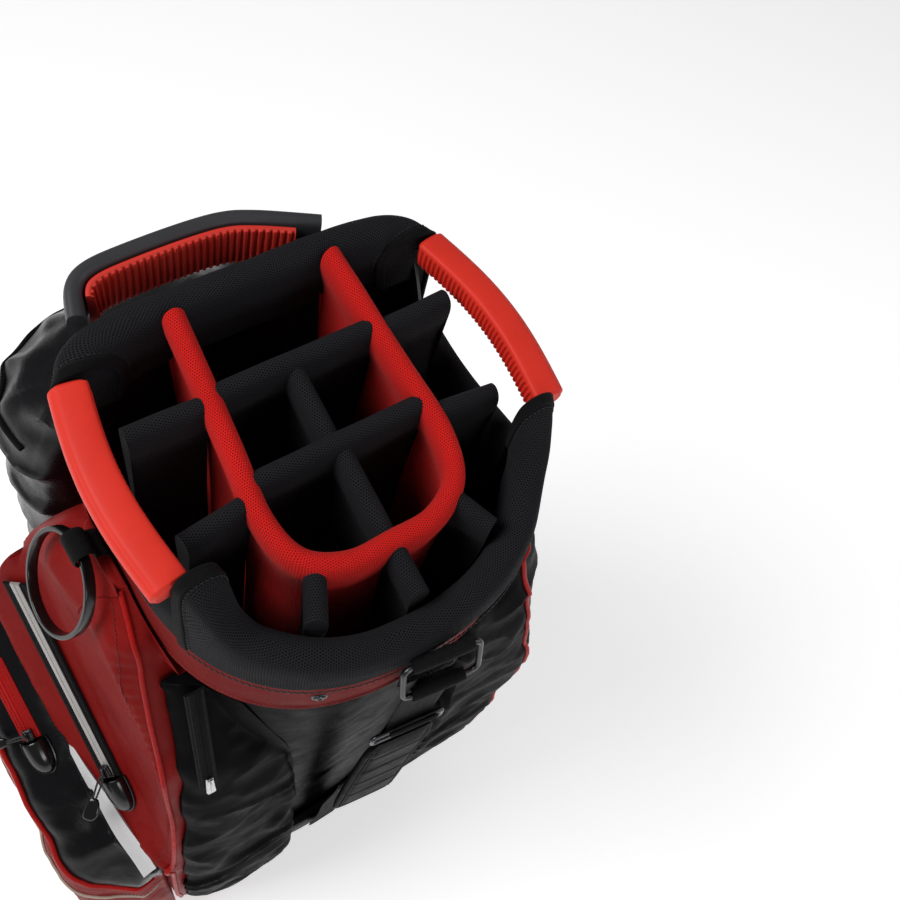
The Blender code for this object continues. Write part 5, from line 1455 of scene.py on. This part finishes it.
def cord_pull(name, piv, d, n, scale, node, body):
    """Thin cord doubled through the bridge, ending in a moulded crescent tab."""
    piv, d, n = V3(*piv), unit(d), unit(n)
    s = np.cross(d, n)
    g = Geo()
    P = []
    top, mid, end = 0.0012, 0.0110, 0.0230
    path = [(end, 0.0012, 0), (0.018, 0.0014, 0.0003), (0.012, 0.0017, 0.0005), (0.006, 0.0018, 0.0004), (0.0022, 0.0015, 0), (0.0002, 0.0009, 0), (-0.0005, 0, 0),
            (0.0002, -0.0009, 0), (0.0022, -0.0015, 0), (0.006, -0.0018, -0.0004), (0.012, -0.0017, -0.0005), (0.018, -0.0014, -0.0003), (end, -0.0012, 0)]
    P = np.array([piv + (d * a + s * b + n * e) * scale for a, b, e in path])
    P = catmull(P, 8)
    # braided cord: a rope of alternating bulges
    P = resample(P, step=0.0007)
    tw = circle(1.0, 8)
    rows = sweep(P, any_up(P), lambda i: [(x * (0.00092 + 0.00012 * math.sin(i * 1.3 + 2 * math.atan2(y, x))), y * (0.00092 + 0.00012 * math.sin(i * 1.3 + 2 * math.atan2(y, x)))) for x, y in tw])
    g.grid(rows, close_v=True, cap0=True, cap1=True, mi=1)
    # tab
    rows = []
    prof = [(0.0205, 0.0, 0.0), (0.0207, 0.0028, 0.0011), (0.0215, 0.0040, 0.0017), (0.0240, 0.0052, 0.0021), (0.0280, 0.0062, 0.0024), (0.0320, 0.0068, 0.0025),
            (0.0360, 0.0067, 0.0024), (0.0390, 0.0059, 0.0021), (0.0408, 0.0044, 0.0016), (0.0416, 0.0026, 0.0009), (0.0418, 0.0, 0.0)]
    for a, w, h in prof:
        ring = []
        for k in range(24):
            q = 2 * math.pi * k / 24
            cx, cy = math.cos(q), math.sin(q)
            cx, cy = math.copysign(abs(cx) ** 0.75, cx), math.copysign(abs(cy) ** 0.75, cy)
            dish = 0.82 if (0.024 < a < 0.0385 and abs(cx) < 0.55) else 1.0
            bend = 0.0012 * math.sin((a - 0.02) / 0.022 * math.pi)
            ring.append(piv + (d * a + s * (cx * w + bend) + n * (cy * h * dish)) * scale)
        rows.append(ring)
    g.grid(rows, close_v=True, cap0=True, cap1=True)
    link(name, face_out(g.mesh(name, 40)), ["plastic_gloss", "thread_black"], body=body, replaces=(node,))


def face_surface(P, N, q, n):
    """Height of a shell's surface along n at q (nearest of its points)."""
    D = P.reshape(-1, 3) - q
    along = D @ n
    side = np.linalg.norm(D - along[:, None] * n, axis=1)
    k = int(np.argmin(side + 0.2 * np.abs(along)))
    return float(along[k])


# curved zip, on the leaning part of the panel
ZTILT = math.radians(45)


def zip_on(u, lift):
    """Point of the zip's centre line, its normal and tangent, lifted off the panel."""
    p, t = zip_arc(u, 0.0)
    r = ZC - p
    r = unit(r - ZN * r.dot(ZN))
    n = ZN * math.cos(ZTILT) + r * math.sin(ZTILT)
    return p + ZN * 0.0125 - n * 0.0125 + n * lift, n, t


C, NN = [], []
for i in range(60):
    u = 0.975 * i / 59
    p, n, t = zip_on(u, 0.0013)
    C.append(p)
    NN.append(n)
zip_band("zip_tape_right_band", np.array(C), np.array(NN), 0.0215, "zip_tape_right", coil=0.0086)
p, n, t = zip_on(0.0, 0.0008)
hood("zip_garage_right_hood", p - t * 0.0006, -t, n, (0.040, 0.024, 0.0105), "zip_garage_right")
p, n, t = zip_on(0.036, 0.0)
slider("zip_slider_right_body", p + n * 0.0060, t, n, (0.012, 0.009, 0.0070), "zip_slider_right", "zip_slider_right")
piv = zip_arc(0.036, 0.0)[0] + ZN * 0.0125
d = unit((0.0255, 0.021, -0.022))
cord_pull("zip_pull_right_cord", piv, d, unit(np.cross(d, (0.636, -0.772, 0))), 1.0, "zip_pull_right", "zip_pull_right")

# straight zip on the sloping top
n_sh = unit((-SHELF_SLOPE, -SHELF_RUN, 1.0))
t_sh = unit((0.0, 1.0, SHELF_RUN))


def shelf(y, lift, x=0.249):
    return V3(x, y, SHELF_Z + SHELF_RUN * y + SHELF_SLOPE * (x - SHELF_X)) + n_sh * lift


C = np.array([shelf(y, 0.0010) for y in np.linspace(-0.098, -0.0335, 24)])
zip_band("zip_tape_lower_band", C, np.array([n_sh] * 24), 0.0180, "zip_tape_lower", tape="piping_red", teeth="piping_red", coil=0.0072)
hood("zip_garage_lower_hood", shelf(-0.0330, 0.0007) + t_sh * 0.0006, t_sh, n_sh, (0.036, 0.022, 0.0105), "zip_garage_lower")
slider("zip_slider_lower_body", shelf(-0.0378, 0.0060), t_sh, n_sh, (0.011, 0.009, 0.0070), "zip_slider_lower", "zip_slider_lower")
s_sh = np.cross(t_sh, n_sh)
d = s_sh * math.cos(math.radians(8)) - n_sh * math.sin(math.radians(8))
cord_pull("zip_pull_lower_cord", shelf(-0.0400, 0.0125), d, unit(np.cross(d, t_sh)), 35 / 42, "zip_pull_lower", "zip_pull_lower")

# long zip in the gusset
gt = unit((-0.098, -0.340, 1.0))
gn = unit((0.0, 1.0, 0.340))
gn = unit(gn - gt * gn.dot(gt))


def gus(z, lift):
    return gz0 + gt * ((z - 0.547) / gt[2]) + gn * lift


C = np.array([gus(z, 0.0020) for z in np.linspace(0.556, 0.672, 40)])
zip_band("zip_tape_gusset_band", C, np.array([gn] * 40), 0.0158, "zip_tape_gusset", teeth="binding_black", coil=0.0060)
slider("zip_slider_gusset_body", gus(0.560, 0.0058), gt, gn, (0.018, 0.008, 0.0052), "zip_slider_gusset", "zip_slider_gusset", "steel")

# left and front zips
C = np.array([(-0.2128, 0.010, z) for z in np.linspace(0.165, 0.432, 90)])
zip_band("zip_tape_left_band", C, np.array([(-1.0, 0, 0)] * 90), 0.0215, "zip_tape_left", coil=0.0086)
slider("zip_slider_left_body", (-0.2180, 0.010, 0.172), (0, 0, 1), (-1, 0, 0), (0.020, 0.009, 0.0070), "zip_slider_left", "zip_slider_left")
for nm, y, z in (("upper", -0.2562, 0.640), ("lower", -0.2732, 0.255)):
    C = np.array([(x, y + 0.0002, z) for x in np.linspace(-0.058, 0.058, 40)])
    zip_band("zip_tape_front_%s_band" % nm, C, np.array([(0, -1.0, 0)] * 40), 0.0198, "zip_tape_front_" + nm, coil=0.0080)
    slider("zip_slider_front_%s_body" % nm, (0.050, y - 0.0048, z), (1, 0, 0), (0, -1, 0), (0.020, 0.009, 0.0070), "zip_slider_front_" + nm, "zip_slider_front_" + nm)

# ================================================================ strap
YAW = math.radians(-8)
RING_AT = V3(0.0, 0.1672, 0.781)
RING_R, RING_DROP, RING_TILT = 0.0022, 0.0345, math.radians(15)
BAR_Z = (-0.139, -0.153)
CY, SY = math.cos(YAW), math.sin(YAW)


def ss(x, y, z):
    return RING_AT + V3(CY * x - SY * y, SY * x + CY * y, z)


def arc_pts(c, r, a0, a1, n):
    return [(c[0] + r * math.cos(math.radians(lerp(a0, a1, k / n))), c[1] + r * math.sin(math.radians(lerp(a0, a1, k / n)))) for k in range(n + 1)]


def web_strip(name, pts, width, thick, node, body, x0=0.0):
    """Woven strap following points in the (outwards, up) plane."""
    P = np.array([(0.0, a, b) for a, b in pts])
    P = resample(catmull(P, 6), step=0.0016)
    g = Geo()
    nx = 14
    rows = []
    for i in range(len(P)):
        t = unit(P[min(i + 1, len(P) - 1)] - P[max(0, i - 1)])
        m = V3(0, -t[2], t[1])
        ring = []
        xs = [math.copysign(1 - (1 - abs(q)) ** 1.0, q) for q in np.linspace(-1, 1, nx)]
        for q in xs:
            e = (1 - abs(q) ** 8) ** 0.5
            ring.append(P[i] + V3(x0 + q * width / 2, 0, 0) + m * (thick / 2 * max(0.35, e)))
        for q in reversed(xs):
            e = (1 - abs(q) ** 8) ** 0.5
            ring.append(P[i] + V3(x0 + q * width / 2, 0, 0) - m * (thick / 2 * max(0.35, e)))
        rows.append([ss(*p) for p in ring])
    g.grid(rows, close_v=True, cap0=True, cap1=True)
    link(name, face_out(g.mesh(name, 50)), "webbing_black", body=body, replaces=(node,))


lo = (RING_DROP * math.sin(RING_TILT), -RING_DROP * math.cos(RING_TILT))
pts = [(-0.0060, -0.056), (-0.0060, -0.043), (-0.0060, -0.030), (-0.0052, -0.016)] + arc_pts((0, 0), 0.0042, 205, -60, 9)
web_strip("strap_loop_webbing", pts, 0.046, 0.0021, "strap_loop", "bag")
# box stitching on the loop
g = Geo()
bx = [(-0.019, -0.050), (0.019, -0.050), (0.019, -0.034), (-0.019, -0.034), (-0.019, -0.050)]
line = np.array([ss(x, -0.0047, z) for x, z in bx])
stitches(g, resample(line, step=0.001), np.array([SY * -1, CY, 0.0]), 0.0034, 0.0025, 0.00036, 0.0001)
for q in (((-0.019, -0.050), (0.019, -0.034)), ((-0.019, -0.034), (0.019, -0.050))):
    stitches(g, np.array([ss(q[0][0], -0.0047, q[0][1]), ss(q[1][0], -0.0047, q[1][1])]), np.array([-SY, CY, 0.0]), 0.0034, 0.0025, 0.00036, 0.0001)
link("strap_loop_stitching", g.mesh("s"), "thread_black")


def wire(name, w, h, r, place, node, body, corner=0.006):
    pts = []
    for cx, cy, a0 in ((w / 2 - corner, -corner, 90), (w / 2 - corner, -h + corner, 0), (-w / 2 + corner, -h + corner, -90), (-w / 2 + corner, -corner, -180)):
        for k in range(10):
            a = math.radians(a0 - 10 * k)
            pts.append((cx + corner * math.cos(a), cy + corner * math.sin(a)))
    P = np.array([place(*p) for p in pts])
    P = resample(np.vstack([P, P[:1]]), step=0.0015)[:-1]
    g = Geo()
    tube(g, P, r, 16, closed=True)
    link(name, face_out(g.mesh(name, 60)), "metal_dark", body=body, replaces=(node,))


wire("strap_ring_wire", 0.0580, RING_DROP, RING_R, lambda a, b: ss(a, -b * math.sin(RING_TILT), b * math.cos(RING_TILT)), "strap_ring", "strap_ring")
top = arc_pts(lo, 0.0042, -60, 180, 9)
bar = (0.0040, BAR_Z[0])
bot = arc_pts(bar, 0.0040, 150, 410, 9)
run = [(lo[0] - 0.0042, lo[1] - 0.006), (0.5 * (lo[0] + bar[0]) - 0.0042 - 0.0008, 0.5 * (lo[1] + bar[1])), (bar[0] - 0.0042, bar[1] + 0.010)]
web_strip("strap_web_upper_webbing", top + run + bot, 0.040, 0.0020, "strap_web_upper", "strap", 0.002)
wire("strap_slider_wire", 0.0600, 0.0140, 0.0019, lambda a, b: ss(a + 0.006, 0.0040, BAR_Z[0] + b), "strap_slider", "strap", 0.004)

# padded strap
padlv = [(-0.158, 0.0225, 0.0045, 0.0070, 0.007), (-0.160, 0.024, 0.0035, 0.0075, 0.007), (-0.166, 0.0275, 0.0015, 0.0085, 0.008), (-0.180, 0.0292, 0.0003, 0.0098, 0.010), (-0.240, 0.0297, 0.0003, 0.0103, 0.016),
         (-0.300, 0.0297, 0.0008, 0.0108, 0.021), (-0.330, 0.0292, 0.0018, 0.0103, 0.023), (-0.339, 0.0282, 0.0032, 0.0088, 0.024), (-0.341, 0.0272, 0.0045, 0.0075, 0.024)]
rows = []
for z in np.r_[np.arange(-0.341, -0.1585, 0.0026), -0.158]:
    hw, y0, y1, dx = interp([(a[0], *a[1:]) for a in reversed(padlv)], z)
    ring = []
    m = 40
    e0 = smooth((z + 0.341) / 0.012) * smooth((-0.158 - z) / 0.012)
    for k in range(m):
        q = 2 * math.pi * k / m
        cx, cy = math.cos(q), math.sin(q)
        cx, cy = math.copysign(abs(cx) ** 0.45, cx), math.copysign(abs(cy) ** 0.62, cy)
        x = cx * hw
        # piped edge, then a stitched groove, then a filled middle
        edge = abs(x) / hw
        fill = 1 - 0.55 * math.exp(-((edge - 0.84) / 0.055) ** 2) * (0.75 + 0.25 * math.sin(z * 2 * math.pi / 0.007)) * e0
        if edge < 0.80:
            fill *= 1 - 0.16 * math.exp(-((math.fmod(abs(z) * 1000, 34) - 17) / 1.6) ** 2) * e0
        y = (y0 + y1) / 2 + cy * (y1 - y0) / 2 * fill * (1 + 0.05 * fbm(V3(x, 0, z), 45, 3, 2))
        ring.append(ss(dx + x, y, z))
    rows.append(ring)
g = Geo().grid(rows, close_v=True, cap0=True, cap1=True)
link("strap_pad_padded", face_out(g.mesh("strap_pad", 60)), "shell_matt", body="strap", replaces=("strap_pad",))
g = Geo()
for sx in (-1, 1):
    row = []
    for z in np.arange(-0.333, -0.166, 0.002):
        hw, y0, y1, dx = interp([(a[0], *a[1:]) for a in reversed(padlv)], z)
        row.append(ss(dx + sx * hw * 0.84, (y0 + y1) / 2 + (y1 - y0) / 2 * 0.50 + 0.0006, z))
    stitches(g, np.array(row), V3(-SY, CY, 0), 0.0036, 0.0026, 0.00038, 0.0004)
link("strap_pad_stitching", g.mesh("s"), "thread_black", body="strap")
# lower webbing
base = np.array([(0.024, 0.1560, 0.470), (0.024, 0.1545, 0.440), (0.023, 0.1480, 0.380), (0.018, 0.1390, 0.300), (0.010, 0.1300, 0.200), (0.004, 0.1200, 0.110), (0.0, 0.1145, 0.062), (0.0, 0.1135, 0.038)])
P = resample(catmull(base, 8), step=0.0030)
rows = []
for i in range(len(P)):
    t = unit(P[min(i + 1, len(P) - 1)] - P[max(0, i - 1)])
    n = unit(V3(0, 1, 0) - t * t[1])
    s = np.cross(t, n)
    ring = []
    for q in np.linspace(-1, 1, 14):
        ring.append(P[i] + s * q * 0.019 + n * (0.0011 * max(0.35, (1 - abs(q) ** 8) ** 0.5)))
    for q in np.linspace(1, -1, 14):
        ring.append(P[i] + s * q * 0.019 - n * (0.0011 * max(0.35, (1 - abs(q) ** 8) ** 0.5)))
    rows.append(ring)
g = Geo().grid(rows, close_v=True, cap0=True, cap1=True)
link("strap_web_lower_webbing", face_out(g.mesh("strap_web_lower", 50)), "webbing_black", replaces=("strap_web_lower",))

# ================================================================ towel ring
TOWEL_AT = V3(0.1645, -0.0300, 0.7560)
TT = math.radians(26)
d = V3(math.sin(TT), 0, -math.cos(TT))
nrm = V3(math.cos(TT), 0, math.sin(TT))
rd, ry = 0.0430, 0.0370
c = TOWEL_AT + d * rd
rows = []
for k in range(120):
    a = 2 * math.pi * k / 120
    rad = -d * math.cos(a) * rd + V3(0, 1, 0) * math.sin(a) * ry
    out_ = unit(rad)
    rows.append([c + rad + out_ * p[0] + nrm * p[1] for p in rrect(0.0036, 0.0080, 0.0009, 4)])
g = Geo().grid(rows, close_u=True, close_v=True)
link("towel_ring_moulded", face_out(g.mesh("towel_ring", 40)), "plastic_gloss", body="towel_ring", replaces=("towel_ring",))
poly = [(0.1456, 0.716), (0.1456, 0.727), (0.1458, 0.738), (0.1500, 0.750)] + [(TOWEL_AT[0] + 0.0077 * math.cos(math.radians(g_)), TOWEL_AT[2] + 0.0077 * math.sin(math.radians(g_))) for g_ in (200, 165, 130, 95, 60, 25, -10, -45)]
P = resample(catmull(np.array([(a, 0.0, b) for a, b in poly]), 6), step=0.0014)
rows = []
for i in range(len(P)):
    t = unit(P[min(i + 1, len(P) - 1)] - P[max(0, i - 1)])
    m = V3(-t[2], 0, t[0])
    ring = []
    for q in np.linspace(-1, 1, 12):
        ring.append(P[i] + V3(0, -0.0300 + q * 0.0114, 0) + m * (0.0010 * max(0.35, (1 - abs(q) ** 8) ** 0.5)))
    for q in np.linspace(1, -1, 12):
        ring.append(P[i] + V3(0, -0.0300 + q * 0.0114, 0) - m * (0.0010 * max(0.35, (1 - abs(q) ** 8) ** 0.5)))
    rows.append(ring)
g = Geo().grid(rows, close_v=True, cap0=True, cap1=True)
link("towel_ring_loop_webbing", face_out(g.mesh("towel_loop", 50)), "webbing_black", replaces=("towel_ring_loop",))

# white strip laid on the lower pocket's top, beside the red face: a painted highlight along the glossy top
rows = []
for y in np.linspace(-0.022, 0.110, 70):
    r = []
    f = (y + 0.045) / 0.155
    xi, xw = lerp(0.2275, 0.2050, f), lerp(0.0025, 0.0130, smooth(f * 1.2))
    for x in np.linspace(xi, xi + xw, 8):
        sag = 0.0006 * math.sin(y * 120) + 0.0005 * math.sin(x * 300 + y * 40)
        r.append(shelf(y, 0.0016 + sag, x))
    for x in np.linspace(xi + xw, xi, 8):
        r.append(shelf(y, -0.0010, x))
    rows.append(r)
g = Geo().grid(rows, close_v=True, cap0=True, cap1=True)
link("pocket_lower_highlight_strip", face_out(g.mesh("strip", 40)), "strip_white")

# ================================================================ carried-over CAD nodes, floor
CAD_MAT = {"top_frame": "plastic_black", "base_sole": "rubber_black"}
for nm, ob in NODES.items():
    if ob.hide_render or ob.type != "MESH":
        continue
    key = CAD_MAT.get(nm, "aluminium" if "stay" in nm else "plastic_black")
    for k_, sl in enumerate(ob.material_slots):
        sl.material = M[key]
    if not ob.material_slots:
        ob.data.materials.append(M[key])

m = bpy.data.materials.new("floor_pale")
m.use_nodes = True
b = m.node_tree.nodes["Principled BSDF"]
b.inputs["Base Color"].default_value = (0.90, 0.90, 0.90, 1)
b.inputs["Roughness"].default_value = 0.85
b.inputs["Emission Color"].default_value = (1, 1, 1, 1)
b.inputs["Emission Strength"].default_value = 0.45
me = bpy.data.meshes.new("floor")
me.from_pydata([(-6, -6, -0.0005), (6, -6, -0.0005), (6, 6, -0.0005), (-6, 6, -0.0005)], [], [(0, 1, 2, 3)])
me.materials.append(m)
floor = bpy.data.objects.new("floor", me)
bpy.context.scene.collection.objects.link(floor)

bpy.context.view_layer.update()
